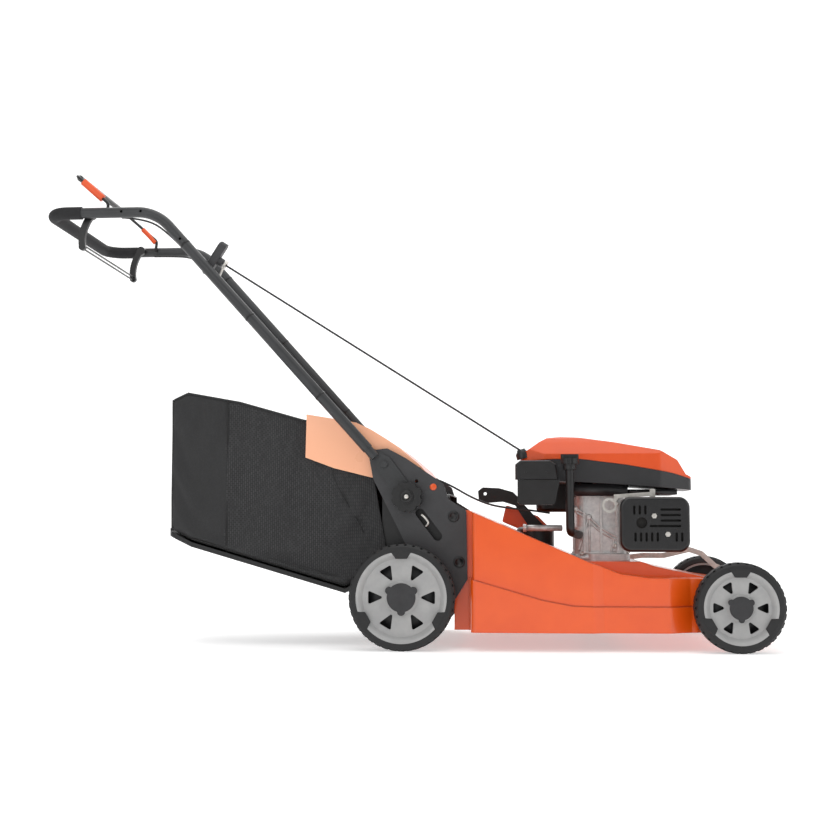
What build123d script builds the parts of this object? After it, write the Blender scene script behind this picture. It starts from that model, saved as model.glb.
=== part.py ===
"""A self-propelled rotary lawn mower with a rear bag: deck, engine, wheels, handle and bag.

Millimetres. X runs forwards, Y to the mower's left and Z up from the ground. Places are given
from the point on the ground under the rear axle, and the three plane functions move them to the
frame's origin, which is the middle of the mower's whole length.
"""
from build123d import *
from math import atan2, degrees, radians, tan
import os

os.makedirs("parts", exist_ok=True)

# Driving dimensions
AXLE_X = 10.0  # the rear axle, in front of the middle of the whole length
WHEELBASE = 716.0
REAR_RADIUS = 114.3  # a 9 inch wheel
FRONT_RADIUS = 95.25  # a 7.5 inch wheel
REAR_RIM = 97.8
FRONT_RIM = 78.0
WHEEL_INNER = 240.0  # from the middle of the mower to the wheel's inner face
WHEEL_WIDTH = 50.0
SPINDLE = 6.0
FIT = 0.05  # radial clearance of a running fit

SHEET = 3.0  # pressed steel
DECK_HALF = 272.0
DECK_BOTTOM = 40.0
SKIRT_PROUD = 4.0
CRANK_X = 440.0
PLATFORM_Z = 189.0  # the engine stands here
BLADE_LENGTH = 500.0
BLADE_Z = 60.0

PLATE_INNER = 200.0  # side plates that carry the handle, flap and rear axle
PLATE_OUTER = 206.0
TUBE_Y = 219.0
TUBE_RADIUS = 12.0
TUBE_WALL = 1.5
GRIP_RADIUS = 14.5
GRIP_X = -816.75
HANDLE_TOP = 980.0
FOLD = (7.0, 331.0)  # handle fold axis, as x and z

REAR_PIVOT = (58.0, 126.0)  # the two height-setting cross tubes swing about these
FRONT_PIVOT = (774.0, 107.0)
CRANK_ARM = (-20.0, 53.0)  # from a pivot to its pin on the link
LEVER_PIVOT = (300.0, 260.0)
LINK_Y = 182.0
LINK_THICK = 5.0

FLAP_HINGE = (64.0, 353.0)
FLAP_HALF = 192.0
BAG_HALF = 187.0
ENGINE_BAIL = (-687.0, 980.0)
DRIVE_BAIL = (-724.0, 980.0)


def at(x, y, z):
    """A point of the mower, from the ground under the rear axle."""
    return Vector(AXLE_X + x, y, z)


def side(y=0.0):
    """The upright plane at y, seen from the mower's right: sketch X forwards, sketch Y up."""
    return Plane(origin=at(0, y, 0), x_dir=(1, 0, 0), z_dir=(0, -1, 0))


def plan(z=0.0):
    """The level plane at height z: sketch X forwards, sketch Y to the left."""
    return Plane(origin=at(0, 0, z), x_dir=(1, 0, 0), z_dir=(0, 0, 1))


def across(x=0.0):
    """The upright plane across the mower at x: sketch X to the left, sketch Y up."""
    return Plane(origin=at(x, 0, 0), x_dir=(0, 1, 0), z_dir=(1, 0, 0))


def outward(hand, y, x=0.0, z=0.0):
    """The plane of a piece on the right (hand -1) or left (hand 1) that faces away from the mower."""
    return Plane(origin=at(x, hand * y, z), x_dir=(-hand, 0, 0), z_dir=(0, hand, 0))


def save(piece, name):
    """Label a finished piece and write its file."""
    piece.part.label = name
    export_step(piece.part, f"parts/{name}.step")


def rod(points, radius, bend, bore=0.0):
    """A bent round bar, or a tube with a bore, through the points of its centre line."""
    with BuildPart() as bar:
        with BuildLine() as route:
            FilletPolyline(*points, radius=bend)
        start = Plane(origin=route.line @ 0, z_dir=route.line % 0)
        with BuildSketch(start):
            Circle(radius)
            if bore:
                Circle(bore, mode=Mode.SUBTRACT)
        sweep(path=route.line)
    return bar.part


# Deck -----------------------------------------------------------------------------------------

STEP_X = 142.0  # the deck's full width starts here, in front of the rear wheels
FRONT_WALL = 735.0  # front of the blade chamber, behind the front cross tube


def deck_outline(z, grow):
    """Half of the deck seen from above, mirrored, grown outwards by an amount."""
    with BuildSketch(plan(z)) as outline:
        with BuildLine():
            Polyline(
                (100, 0), (100, 199.7), (STEP_X, 199.7), (STEP_X, DECK_HALF), (398, DECK_HALF),
                (421, 261), (560, 261), (608, 234), (700, 228),
            )
            ThreePointArc((700, 228), (776, 122), (798, 0))
            mirror(about=Plane.XZ)
        make_face()
        corners = outline.vertices().filter_by(lambda v: v.Y ** 2 > 205 ** 2)
        fillet(corners, radius=9)
        if grow:
            offset(amount=grow, kind=Kind.INTERSECTION)
    return outline.sketch


def deck_skirt(floor, wall):
    """The lower skirt, which stands proud below a falling crease along each side."""
    outline = deck_outline(floor, SKIRT_PROUD - wall)
    with BuildPart() as skirt:
        with BuildSketch(plan(floor)):
            add(outline)
            with Locations((388, 0)):
                Rectangle(490 - 2 * wall, 700, mode=Mode.INTERSECT)
        extrude(amount=120)
        with BuildSketch(side(300)):
            with BuildLine():
                Polyline(
                    (STEP_X - 20, floor), (STEP_X - 20, 156), (146, 154), (301, 109), (366, 97),
                    (424, 95), (640, 95), (640, floor), close=True,
                )
            make_face()
        extrude(amount=600, mode=Mode.INTERSECT)
    return skirt.part


def deck_body(wall):
    """The deck as a solid, its outside for wall 0 and its inside for the sheet thickness."""
    floor = DECK_BOTTOM - 10 * (wall > 0)
    outline = deck_outline(floor, -wall)
    skirt = deck_skirt(floor, wall)
    with BuildPart() as body:
        with BuildSketch(plan(floor)):
            add(outline)
        extrude(amount=330)
        with BuildSketch(side(300)):
            with BuildLine():
                Polyline(
                    (100 + wall, floor), (100 + wall, 302 - wall), (141, 302 - wall), (403, 189 - wall),
                    (424, 182 - wall), (470, 164 - wall), (530, 156 - wall), (642, 155 - wall),
                    (700, 148 - wall), (FRONT_WALL - wall, 143 - wall), (FRONT_WALL - wall, floor),
                    close=True,
                )
            make_face()
            with BuildLine():
                low = 122 - 10 * (wall > 0)
                Polyline(
                    (FRONT_WALL, low), (FRONT_WALL, 143 - wall), (772, 136 - wall),
                    (798 - wall, 126 - wall / 2), (798 - wall, low), close=True,
                )
            make_face()
        extrude(amount=600, mode=Mode.INTERSECT)
        # raised middle that carries the engine, with a long slope forwards
        with BuildSketch(side(172 - wall)):
            with BuildLine():
                Polyline(
                    (350, 120), (350, PLATFORM_Z - wall), (520, PLATFORM_Z - wall), (549, 179 - wall),
                    (615, 165 - wall), (680, 151 - wall), (FRONT_WALL - wall, 139 - wall),
                    (FRONT_WALL - wall, 120), close=True,
                )
            make_face()
        extrude(amount=2 * (172 - wall))
        add(skirt)
    return body.part


deck_outside = deck_body(0)
deck_inside = deck_body(SHEET)
with BuildPart() as deck_shell:
    add(deck_outside)
    add(deck_inside, mode=Mode.SUBTRACT)
    # rear discharge opening, and the belt's opening below it
    with BuildSketch(across(90)):
        with Locations((0, 241)):
            RectangleRounded(340, 98, 12)
        with Locations((0, 157)):
            RectangleRounded(90, 44, 8)
    extrude(amount=30, mode=Mode.SUBTRACT)
    # openings for the height link: rear wall, side slope and front flange
    with BuildSketch(across(90)):
        with Locations((LINK_Y + LINK_THICK / 2, 179)):
            RectangleRounded(17, 62, 5)
    extrude(amount=30, mode=Mode.SUBTRACT)
    with BuildSketch(plan(100)):
        with Locations((413, LINK_Y + LINK_THICK / 2)):
            RectangleRounded(144, 17, 5)
        with Locations((318, 189)):
            RectangleRounded(96, 20, 5)
        with Locations((760, LINK_Y)):
            Rectangle(90, 24)
    extrude(amount=220, mode=Mode.SUBTRACT)
    # crankshaft hole and engine bolt holes
    with BuildSketch(plan(PLATFORM_Z)):
        with Locations((CRANK_X, 0)):
            Circle(32)
            with PolarLocations(60, 3, start_angle=60):
                Circle(4.2)
    extrude(amount=-10, mode=Mode.SUBTRACT)
save(deck_shell, "deck_shell")

# Side plates ----------------------------------------------------------------------------------


def slope_angle(run, rise):
    """The angle of a slope in degrees."""
    return degrees(atan2(rise, run))


def side_plate(hand):
    """The pressed plate that carries handle, flap hinge and rear cross tube on one side."""
    with BuildPart() as plate:
        with BuildSketch(side(PLATE_INNER if hand > 0 else -PLATE_INNER)) as outline:
            with BuildLine():
                Polyline(
                    (-79, 421), (-74, 435), (-38, 439), (3, 417), (47, 387), (86, 361), (97, 326),
                    (137, 301), (139, 150), (112, 106), (34, 106), (30, 190), (2, 228), (-20, 273),
                    (-43, 318), (-70, 372), close=True,
                )
            make_face()
            fillet(outline.vertices(), radius=7)
            with Locations(FOLD):
                Circle(5 + FIT, mode=Mode.SUBTRACT)
            with Locations(REAR_PIVOT):
                Circle(SPINDLE + FIT, mode=Mode.SUBTRACT)
            with Locations((27, 366)):
                Circle(4, mode=Mode.SUBTRACT)
            with Locations((109, 288)):
                Circle(10, mode=Mode.SUBTRACT)
            with Locations(FLAP_HINGE):
                Circle(3 + FIT, mode=Mode.SUBTRACT)
            with Locations(Location((54, 270), slope_angle(52, -68))):
                SlotOverall(84, 20, mode=Mode.SUBTRACT)
        extrude(amount=-hand * (PLATE_OUTER - PLATE_INNER))
    return plate


for hand, name in ((-1, "right"), (1, "left")):
    save(side_plate(hand), f"side_plate_{name}")

# Discharge chute: the passage from the deck's rear opening to the bag's mouth
CHUTE_BACK = -52.0
with BuildPart() as discharge_chute:
    with BuildSketch(across(CHUTE_BACK)):
        with Locations((0, 264)):
            RectangleRounded(356, 148, 14)
            RectangleRounded(350, 142, 11, mode=Mode.SUBTRACT)
    extrude(amount=99.7 - CHUTE_BACK)
save(discharge_chute, "discharge_chute")

# Wheels ---------------------------------------------------------------------------------------


def wheel(x, radius, rim, hand, end):
    """Tyre, rim and hub cap of one wheel; the rim's places scale with its radius."""
    share = rim / REAR_RIM
    hub = Plane(origin=at(x, hand * WHEEL_INNER, radius), x_dir=(0, hand, 0), z_dir=(hand, 0, 0))
    spin = Axis(at(x, 0, radius), (0, 1, 0))
    # three lugs of the tyre lock into the rim's edge
    with BuildPart() as lugs:
        with BuildSketch(outward(hand, WHEEL_INNER + 49.5, x, radius)):
            for angle in (90, 210, 330):
                with Locations(Location((0, 0), angle)):
                    with Locations((rim - 6 * share, 0)):
                        Polygon((-9, -12), (8, -24), (8, 24), (-9, 12), align=None)
        extrude(amount=-7)

    with BuildPart() as tyre:
        with BuildSketch(hub):
            with BuildLine():
                Polyline(
                    (1, rim), (1, rim + 3), (3, radius - 6), (9, radius), (41, radius),
                    (47, radius - 6), (49, rim + 3), (49.5, rim), close=True,
                )
            make_face()
        revolve(axis=spin)
        # tread: grooves across each shoulder, staggered from side to side
        count = round(radius * 0.35)
        for shift, axial in ((0, 7), (180 / count, 43)):
            with BuildSketch(outward(hand, WHEEL_INNER + axial - 9, x, radius)):
                with PolarLocations(radius, count, start_angle=shift):
                    Rectangle(7, 5.5)
            extrude(amount=18, mode=Mode.SUBTRACT)
        add(lugs.part)
    save(tyre, f"{end}_tyre")

    with BuildPart() as wheel_rim:
        with BuildSketch(hub):
            with BuildLine():
                Polyline(
                    (3, rim), (49.5, rim), (49.5, rim - 5), (46, rim - 9), (40, rim - 14),
                    (38, 36 * share), (42, 30 * share), (46, 16), (46, SPINDLE + FIT),
                    (4, SPINDLE + FIT), (4, 17), (30, 19), (33, rim - 16), (28, rim - 7), (3, rim - 5),
                    close=True,
                )
            make_face()
        revolve(axis=spin)
        with BuildSketch(outward(hand, WHEEL_INNER + 52, x, radius)) as windows:
            with PolarLocations(55 * share, 6):
                Polygon((-17 * share, 0), (17 * share, -15 * share), (17 * share, 15 * share), align=None)
            fillet(windows.vertices(), radius=3)
        extrude(amount=-28, mode=Mode.SUBTRACT)
        add(lugs.part, mode=Mode.SUBTRACT)
    save(wheel_rim, f"{end}_rim")

    with BuildPart() as cap:
        with BuildSketch(outward(hand, WHEEL_INNER + 46.3, x, radius)):
            Circle(31 * share)
            with PolarLocations(30 * share, 3, start_angle=30):
                Circle(8.5 * share)
        extrude(amount=3.2)
        edges = cap.edges().filter_by(GeomType.CIRCLE).group_by(Axis.Y)
        fillet(edges[0 if hand < 0 else -1], radius=1.2)
    save(cap, f"{end}_cap")


for hand, name in ((-1, "right"), (1, "left")):
    wheel(0, REAR_RADIUS, REAR_RIM, hand, f"rear_{name}")
    wheel(WHEELBASE, FRONT_RADIUS, FRONT_RIM, hand, f"front_{name}")

# Rear cross tube, gearbox and drive shaft -------------------------------------------------------
ARM_INNER = 208.0
ARM_OUTER = 214.0


def crank(pivot):
    """The arm that stands on a cross tube and carries a pin for the link, with its pin."""
    pin = (pivot[0] + CRANK_ARM[0], pivot[1] + CRANK_ARM[1])
    with BuildPart() as lever:
        with BuildSketch(side(LINK_Y - 1)):
            with Locations(pivot):
                Circle(12)
            with Locations(pin):
                Circle(9)
            make_hull()
        extrude(amount=6)
        with BuildSketch(side(LINK_Y - 6)):
            with Locations(pin):
                Circle(5)
        extrude(amount=-(LINK_THICK + 8))
    return lever.part


rear_crank = crank(REAR_PIVOT)
front_crank = crank(FRONT_PIVOT)
with BuildPart() as rear_axle_frame:
    with BuildSketch(side(PLATE_INNER - 0.5)):
        with Locations(REAR_PIVOT):
            Circle(10)
            Circle(8, mode=Mode.SUBTRACT)
    extrude(amount=2 * PLATE_INNER - 1)
    for hand in (-1, 1):
        with BuildSketch(outward(hand, PLATE_INNER - 20)):
            with Locations((-hand * REAR_PIVOT[0], REAR_PIVOT[1])):
                Circle(SPINDLE)
        extrude(amount=ARM_INNER - PLATE_INNER + 21)
        with BuildSketch(outward(hand, PLATE_INNER - 12)):
            with Locations((-hand * REAR_PIVOT[0], REAR_PIVOT[1])):
                Circle(8)
        extrude(amount=11.5)
        with BuildSketch(outward(hand, ARM_INNER)):
            with Locations((-hand * REAR_PIVOT[0], REAR_PIVOT[1])):
                Circle(13)
            with Locations((0, REAR_RADIUS)):
                Circle(15)
            make_hull()
            with Locations((0, REAR_RADIUS)):
                Circle(SPINDLE + FIT, mode=Mode.SUBTRACT)
        extrude(amount=ARM_OUTER - ARM_INNER)
    add(rear_crank)
    # two lugs hold the gearbox
    with BuildSketch(side(46)):
        with Locations((43, 126)):
            Rectangle(16, 12)
    extrude(amount=6)
    with BuildSketch(side(-40)):
        with Locations((43, 126)):
            Rectangle(16, 12)
    extrude(amount=6)
save(rear_axle_frame, "rear_axle_frame")

with BuildPart() as gearbox:
    with BuildSketch(side(34)) as case:
        with Locations((0, REAR_RADIUS)):
            Circle(31)
        with Locations((34, 122)):
            Rectangle(26, 30)
        make_hull()
    extrude(amount=68)
    fillet(gearbox.faces().sort_by(Axis.Y)[0].edges(), radius=5)
    fillet(gearbox.faces().sort_by(Axis.Y)[-1].edges(), radius=5)
    with BuildSketch(side(46)):
        with Locations((0, REAR_RADIUS)):
            Circle(14)
    extrude(amount=92)
    with BuildSketch(side(60)):
        with Locations((0, REAR_RADIUS)):
            Circle(SPINDLE + FIT)
    extrude(amount=120, mode=Mode.SUBTRACT)
    # input shaft with its pulley
    with BuildSketch(plan(140)):
        with Locations((20, 0)):
            Circle(6)
    extrude(amount=26)
    for level, spread in ((147, 24), (150, 19), (156, 24)):
        with BuildSketch(plan(level)):
            with Locations((20, 0)):
                Circle(spread)
        extrude(amount=6 if spread == 19 else 3)
save(gearbox, "gearbox")

with BuildPart() as drive_shaft:
    with BuildSketch(side(WHEEL_INNER + 46)):
        with Locations((0, REAR_RADIUS)):
            Circle(SPINDLE)
    extrude(amount=2 * (WHEEL_INNER + 46))
save(drive_shaft, "drive_shaft")

# Front cross tube -------------------------------------------------------------------------------
with BuildPart() as front_axle:
    with BuildSketch(side(231)):
        with Locations(FRONT_PIVOT):
            Circle(8)
    extrude(amount=462)
    for hand in (-1, 1):
        with BuildSketch(outward(hand, 230.5)):
            with Locations((-hand * FRONT_PIVOT[0], FRONT_PIVOT[1])):
                Circle(13)
            with Locations((-hand * WHEELBASE, FRONT_RADIUS)):
                Circle(14)
            make_hull()
        extrude(amount=6)
        with BuildSketch(outward(hand, 231)):
            with Locations((-hand * WHEELBASE, FRONT_RADIUS)):
                Circle(SPINDLE)
        extrude(amount=WHEEL_INNER + 46 - 231)
    add(front_crank)
save(front_axle, "front_axle")

with BuildPart() as front_bearing_blocks:
    for y in (-140, 140):
        with BuildSketch(side(y + 15)):
            with Locations((FRONT_PIVOT[0], 109)):
                RectangleRounded(28, 25, 3)
            with Locations(FRONT_PIVOT):
                Circle(8 + FIT, mode=Mode.SUBTRACT)
        extrude(amount=30)
save(front_bearing_blocks, "front_bearing_blocks")

# Height link, lever and quadrant ----------------------------------------------------------------
REAR_PIN = (REAR_PIVOT[0] + CRANK_ARM[0], REAR_PIVOT[1] + CRANK_ARM[1])
FRONT_PIN = (FRONT_PIVOT[0] + CRANK_ARM[0], FRONT_PIVOT[1] + CRANK_ARM[1])
LINK_PIN = (330.0, 180.5)  # the lever's fork works on this one
with BuildPart() as height_link:
    with BuildSketch(side(LINK_Y + LINK_THICK)):
        with BuildLine() as centre:
            FilletPolyline(
                REAR_PIN, (300, 180), (480, 183), (556, 193), (610, 193), (672, 208), (702, 198),
                (734, 168), FRONT_PIN, radius=12,
            )
        trace(centre.line, line_width=12.6)
        for pin in (REAR_PIN, FRONT_PIN):
            with Locations(pin):
                Circle(9)
                Circle(5 + FIT, mode=Mode.SUBTRACT)
    extrude(amount=LINK_THICK)
    with BuildSketch(side(LINK_Y + LINK_THICK)):
        with Locations(LINK_PIN):
            Circle(4)
    extrude(amount=-8)
save(height_link, "height_link")

LEVER_Y = LINK_Y + LINK_THICK + 2.5
with BuildPart() as height_lever:
    with BuildSketch(side(LEVER_Y + 4)) as blade_of_lever:
        with Locations(LEVER_PIVOT):
            Circle(16)
        with Locations((252, 322)):
            Circle(9)
        make_hull()
        with BuildLine():
            Polyline((290, 262), (310, 258), (346, 166), (314, 160), close=True)
        make_face()
        with Locations(LEVER_PIVOT):
            Circle(6 + FIT, mode=Mode.SUBTRACT)
        with Locations(Location(LINK_PIN, slope_angle(-30, 79.5))):
            SlotOverall(60, 9.4, mode=Mode.SUBTRACT)
    extrude(amount=4)
    # moulded grip, flat and slightly arched, with a hanging hole
    with BuildSketch(side(LEVER_Y + 9)) as grip:
        with BuildLine():
            Polyline(
                (262, 312), (256, 334), (240, 350), (205, 360), (164, 362), (152, 353), (154, 330),
                (176, 323), (214, 326), (240, 318), close=True,
            )
        make_face()
        fillet(grip.vertices(), radius=4)
        with Locations((170, 346)):
            Circle(4, mode=Mode.SUBTRACT)
    extrude(amount=14)
save(height_lever, "height_lever")

with BuildPart() as height_quadrant:
    with BuildSketch(side(LEVER_Y + 15)) as rack:
        with BuildLine():
            Polyline(
                (212, 276), (222, 318), (262, 304), (302, 290), (330, 262), (330, 226), (212, 276),
            )
        make_face()
        fillet(rack.vertices(), radius=5)
    extrude(amount=4)
    with BuildSketch(side(LEVER_Y + 11)):
        with Locations(LEVER_PIVOT):
            Circle(6)
    extrude(amount=14)
save(height_quadrant, "height_quadrant")

# Engine ---------------------------------------------------------------------------------------
with BuildPart() as crankcase:
    # flange on the platform, sump, and the upper case with its cylinder boss towards the front
    with BuildSketch(plan(PLATFORM_Z)):
        with Locations((CRANK_X, 0)):
            Circle(50)
        with Locations((458, 0)):
            RectangleRounded(108, 176, 24)
        with Locations((454, 0)):
            Rectangle(100, 176, mode=Mode.INTERSECT)
    extrude(amount=14)
    with BuildSketch(plan(PLATFORM_Z + 13)):
        with Locations((CRANK_X, 0)):
            RectangleRounded(118, 150, 18)
    extrude(amount=62)
    with BuildSketch(plan(PLATFORM_Z + 74)):
        with Locations((CRANK_X, 0)):
            RectangleRounded(108, 138, 16)
    extrude(amount=72)
    # diagonal and upright ribs on the right side
    for lean in (-38, 0, 38):
        with BuildSketch(across(CRANK_X + lean - 2.5)):
            with BuildLine():
                Polyline((-60, 205), (-84, 205), (-72, 330), (-60, 330), close=True)
            make_face()
        extrude(amount=5)
    # crankshaft bore right through, and the bolt holes of the flange
    with BuildSketch(plan(PLATFORM_Z)):
        with Locations((CRANK_X, 0)):
            Circle(12.5 + FIT)
            with PolarLocations(60, 3, start_angle=60):
                Circle(3.2)
    extrude(amount=150, mode=Mode.SUBTRACT)
save(crankcase, "crankcase")

with BuildPart() as cylinder_head:
    # finned cylinder that points forwards, with the head bolted on its end
    with BuildSketch(across(499.2)):
        with Locations((0, 268)):
            RectangleRounded(84, 84, 10)
    extrude(amount=84)
    for step in range(7):
        with BuildSketch(across(501 + 10 * step)):
            with Locations((0, 268)):
                RectangleRounded(132, 118, 12)
        extrude(amount=3)
    with BuildSketch(across(574)):
        with Locations((0, 268)):
            RectangleRounded(118, 108, 10)
    extrude(amount=18)
    with BuildSketch(across(591)):
        with Locations((0, 268)):
            Circle(7)
    extrude(amount=12)
    # exhaust port boss towards the muffler
    with BuildSketch(side(-60)):
        with Locations((548, 284)):
            RectangleRounded(40, 40, 6)
    extrude(amount=50)
save(cylinder_head, "cylinder_head")

with BuildPart() as spark_plug:
    with BuildSketch(across(603)):
        with Locations((0, 268)):
            RegularPolygon(10, 6)
    extrude(amount=8)
    with BuildSketch(across(611)):
        with Locations((0, 268)):
            Circle(7)
    extrude(amount=16)
    # rubber boot, turned up towards the shroud
    with BuildSketch(across(627)):
        with Locations((0, 268)):
            Circle(11)
    extrude(amount=14)
save(spark_plug, "spark_plug")

ENGINE_HALF = 118.0
SHROUD = 2.5


def engine_outline(z, grow):
    """The engine's cowl seen from above."""
    with BuildSketch(plan(z)) as outline:
        with BuildLine():
            Polyline((248, 0), (248, 104), (300, ENGINE_HALF), (560, ENGINE_HALF), (636, 78), (636, 0))
            mirror(about=Plane.XZ)
        make_face()
        corners = outline.vertices().filter_by(lambda v: abs(v.Y) > 10)
        fillet(corners, radius=26)
        if grow:
            offset(amount=grow)
    return outline.sketch


def cowl(top_points, low_points, wall):
    """A layer of the cowl between two lines of the side view, as a solid."""
    with BuildPart() as layer:
        with BuildSketch(plan(330)):
            add(engine_outline(330, -wall))
        extrude(amount=170)
        with BuildSketch(side(200)):
            with BuildLine():
                Polyline(*top_points, *reversed(low_points), close=True)
            make_face()
        extrude(amount=400, mode=Mode.INTERSECT)
    return layer.part


COWL_SEAM = ((230, 412), (330, 418), (394, 418), (495, 405), (602, 386), (650, 372))
COWL_FOOT = ((230, 371), (394, 366), (494, 360), (650, 348))
shroud_wall = cowl([(x, z - 0.4) for x, z in COWL_SEAM], COWL_FOOT, 0)
shroud_inside = engine_outline(330, -SHROUD)
# inner deck of the shroud, which guides the cooling air down to the fins
shroud_floor = cowl([(x, z + 2) for x, z in COWL_FOOT], COWL_FOOT, 1)
with BuildPart() as blower_shroud:
    add(shroud_wall)
    with BuildSketch(plan(330)):
        add(shroud_inside)
    extrude(amount=120, mode=Mode.SUBTRACT)
    add(shroud_floor)
    with BuildSketch(plan(340)):
        with Locations((CRANK_X, 0)):
            Circle(74)
    extrude(amount=60, mode=Mode.SUBTRACT)
    # three posts that stand on the crankcase
    for x, y in ((400, 48), (400, -48), (480, 48)):
        with BuildSketch(plan(PLATFORM_Z + 146.2)):
            with Locations((x, y)):
                Circle(6)
        extrude(amount=32)
save(blower_shroud, "blower_shroud")

COVER_TOP = (
    (230, 420), (248, 424), (275, 440), (300, 458), (318, 468), (350, 471), (390, 469),
    (470, 457), (571, 438), (612, 416), (632, 384), (650, 376),
)


def shoulders(inset):
    """A long bar with the cover's cross section, rounded along both sides."""
    half = ENGINE_HALF - inset
    with BuildPart() as bar:
        with BuildSketch(across(200)) as section:
            with BuildLine():
                Polyline(
                    (-half, 340), (-half, 430 - inset / 2), (-84, 473 - inset), (84, 473 - inset),
                    (half, 430 - inset / 2), (half, 340), close=True,
                )
            make_face()
            fillet(section.vertices().group_by(Axis.Y)[-1], radius=50 - inset)
        extrude(amount=500)
    return bar.part


cover_outside = cowl(COVER_TOP, COWL_SEAM, 0)
cover_inside = cowl([(x, z - 5) for x, z in COVER_TOP], [(x, z - 2) for x, z in COWL_SEAM], 5)
inside_bar = shoulders(5)
with BuildPart() as cover_hollow:
    add(cover_inside)
    add(inside_bar, mode=Mode.INTERSECT)
outside_bar = shoulders(0)
with BuildPart() as top_cover:
    add(cover_outside)
    add(outside_bar, mode=Mode.INTERSECT)
    add(cover_hollow.part, mode=Mode.SUBTRACT)
    # air intake slots of the recoil starter
    with BuildSketch(plan(430)):
        with Locations((CRANK_X, 0)):
            with PolarLocations(44, 12):
                SlotOverall(40, 6)
    extrude(amount=60, mode=Mode.SUBTRACT)
save(top_cover, "top_cover")

with BuildPart() as crankshaft:
    with BuildSketch(plan(BLADE_Z + 8)):
        with Locations((CRANK_X, 0)):
            Circle(12.5)
    extrude(amount=300)
    # flywheel with its fan, under the starter
    with BuildSketch(plan(PLATFORM_Z + 148)):
        with Locations((CRANK_X, 0)):
            Circle(30)
    extrude(amount=20)
    with BuildSketch(plan(376)):
        with Locations((CRANK_X, 0)):
            Circle(72)
    extrude(amount=14)
    with BuildSketch(plan(PLATFORM_Z + 148)):
        with Locations((CRANK_X, 0)):
            Circle(13)
    extrude(amount=50)
    with BuildSketch(plan(389)):
        with Locations((CRANK_X, 0)):
            with PolarLocations(55, 12):
                Rectangle(26, 4)
    extrude(amount=14)
save(crankshaft, "crankshaft")

with BuildPart() as engine_pulley:
    for level, spread, thick in ((147, 26, 3), (150, 21, 6), (156, 26, 3), (110, 19, 37)):
        with BuildSketch(plan(level)):
            with Locations((CRANK_X, 0)):
                Circle(spread)
                Circle(12.5 + FIT, mode=Mode.SUBTRACT)
        extrude(amount=thick)
save(engine_pulley, "engine_pulley")

with BuildPart() as blade:
    # flat bar with its rear edges turned up as fans and its front edges ground
    with BuildSketch(plan(BLADE_Z)):
        with Locations((CRANK_X, 0)):
            RectangleRounded(56, BLADE_LENGTH, 10)
    extrude(amount=4)
    for turn in (0, 180):
        with BuildSketch(Plane(origin=at(CRANK_X, 0, BLADE_Z), z_dir=(0, 0, 1)).rotated((0, 0, turn))):
            with Locations((-24, BLADE_LENGTH / 2 - 62)):
                Rectangle(8, 96)
        extrude(amount=20)
        grinding = Plane(origin=at(CRANK_X, 0, BLADE_Z), z_dir=(0, 0, 1)).rotated((0, 0, turn))
        with BuildSketch(Plane(origin=grinding.from_local_coords((0, 90, 0)), x_dir=grinding.x_dir, z_dir=grinding.y_dir)):
            with BuildLine():
                Polyline((18, -1), (29, -1), (29, 3.2), close=True)
            make_face()
        extrude(amount=170, mode=Mode.SUBTRACT)
    with BuildSketch(plan(BLADE_Z)):
        with Locations((CRANK_X, 0)):
            Circle(5.2)
            with Locations((0, 24), (0, -24)):
                Circle(4)
    extrude(amount=30, mode=Mode.SUBTRACT)
    # adapter that keys the blade to the shaft
    with BuildSketch(plan(BLADE_Z + 4)):
        with Locations((CRANK_X, 0)):
            Circle(28)
            Circle(5.2, mode=Mode.SUBTRACT)
    extrude(amount=3.9)
save(blade, "blade")

with BuildPart() as blade_bolt:
    with BuildSketch(plan(BLADE_Z - 10)):
        with Locations((CRANK_X, 0)):
            RegularPolygon(9, 6)
    extrude(amount=7)
    with BuildSketch(plan(BLADE_Z - 3)):
        with Locations((CRANK_X, 0)):
            Circle(18)
    extrude(amount=3)
    with BuildSketch(plan(BLADE_Z)):
        with Locations((CRANK_X, 0)):
            Circle(5)
    extrude(amount=8)
save(blade_bolt, "blade_bolt")

with BuildPart() as drive_belt:
    with BuildSketch(plan(150.2)):
        with BuildLine() as loop:
            Line((20, -22.5), (CRANK_X, -24.5))
            ThreePointArc((CRANK_X, -24.5), (CRANK_X + 24.5, 0), (CRANK_X, 24.5))
            Line((CRANK_X, 24.5), (20, 22.5))
            ThreePointArc((20, 22.5), (-2.5, 0), (20, -22.5))
        make_face()
        offset(amount=-3.2, mode=Mode.SUBTRACT)
    extrude(amount=5.6)
save(drive_belt, "drive_belt")

with BuildPart() as belt_cover:
    # domed cover on the deck's rear slope, behind the engine
    with BuildSketch(plan(214)):
        with Locations((292, 20)):
            Ellipse(44, 58)
    extrude(amount=50)
    fillet(belt_cover.edges().sort_by(Axis.Z)[-1], radius=9)
    add(deck_outside, mode=Mode.SUBTRACT)
save(belt_cover, "belt_cover")

FILTER_Y = -122.0
with BuildPart() as air_filter_box:
    with BuildSketch(side(FILTER_Y)) as face:
        with BuildLine():
            Polyline((250, 314), (250, 370), (345, 370), (338, 340), (333, 314), close=True)
        make_face()
        fillet(face.vertices().sort_by(Axis.Y)[:2], radius=9)
    extrude(amount=44)
    with BuildSketch(side(FILTER_Y + 60)):
        with Locations((300, 346)):
            Rectangle(60, 36)
    extrude(amount=64)
save(air_filter_box, "air_filter_box")

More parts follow.
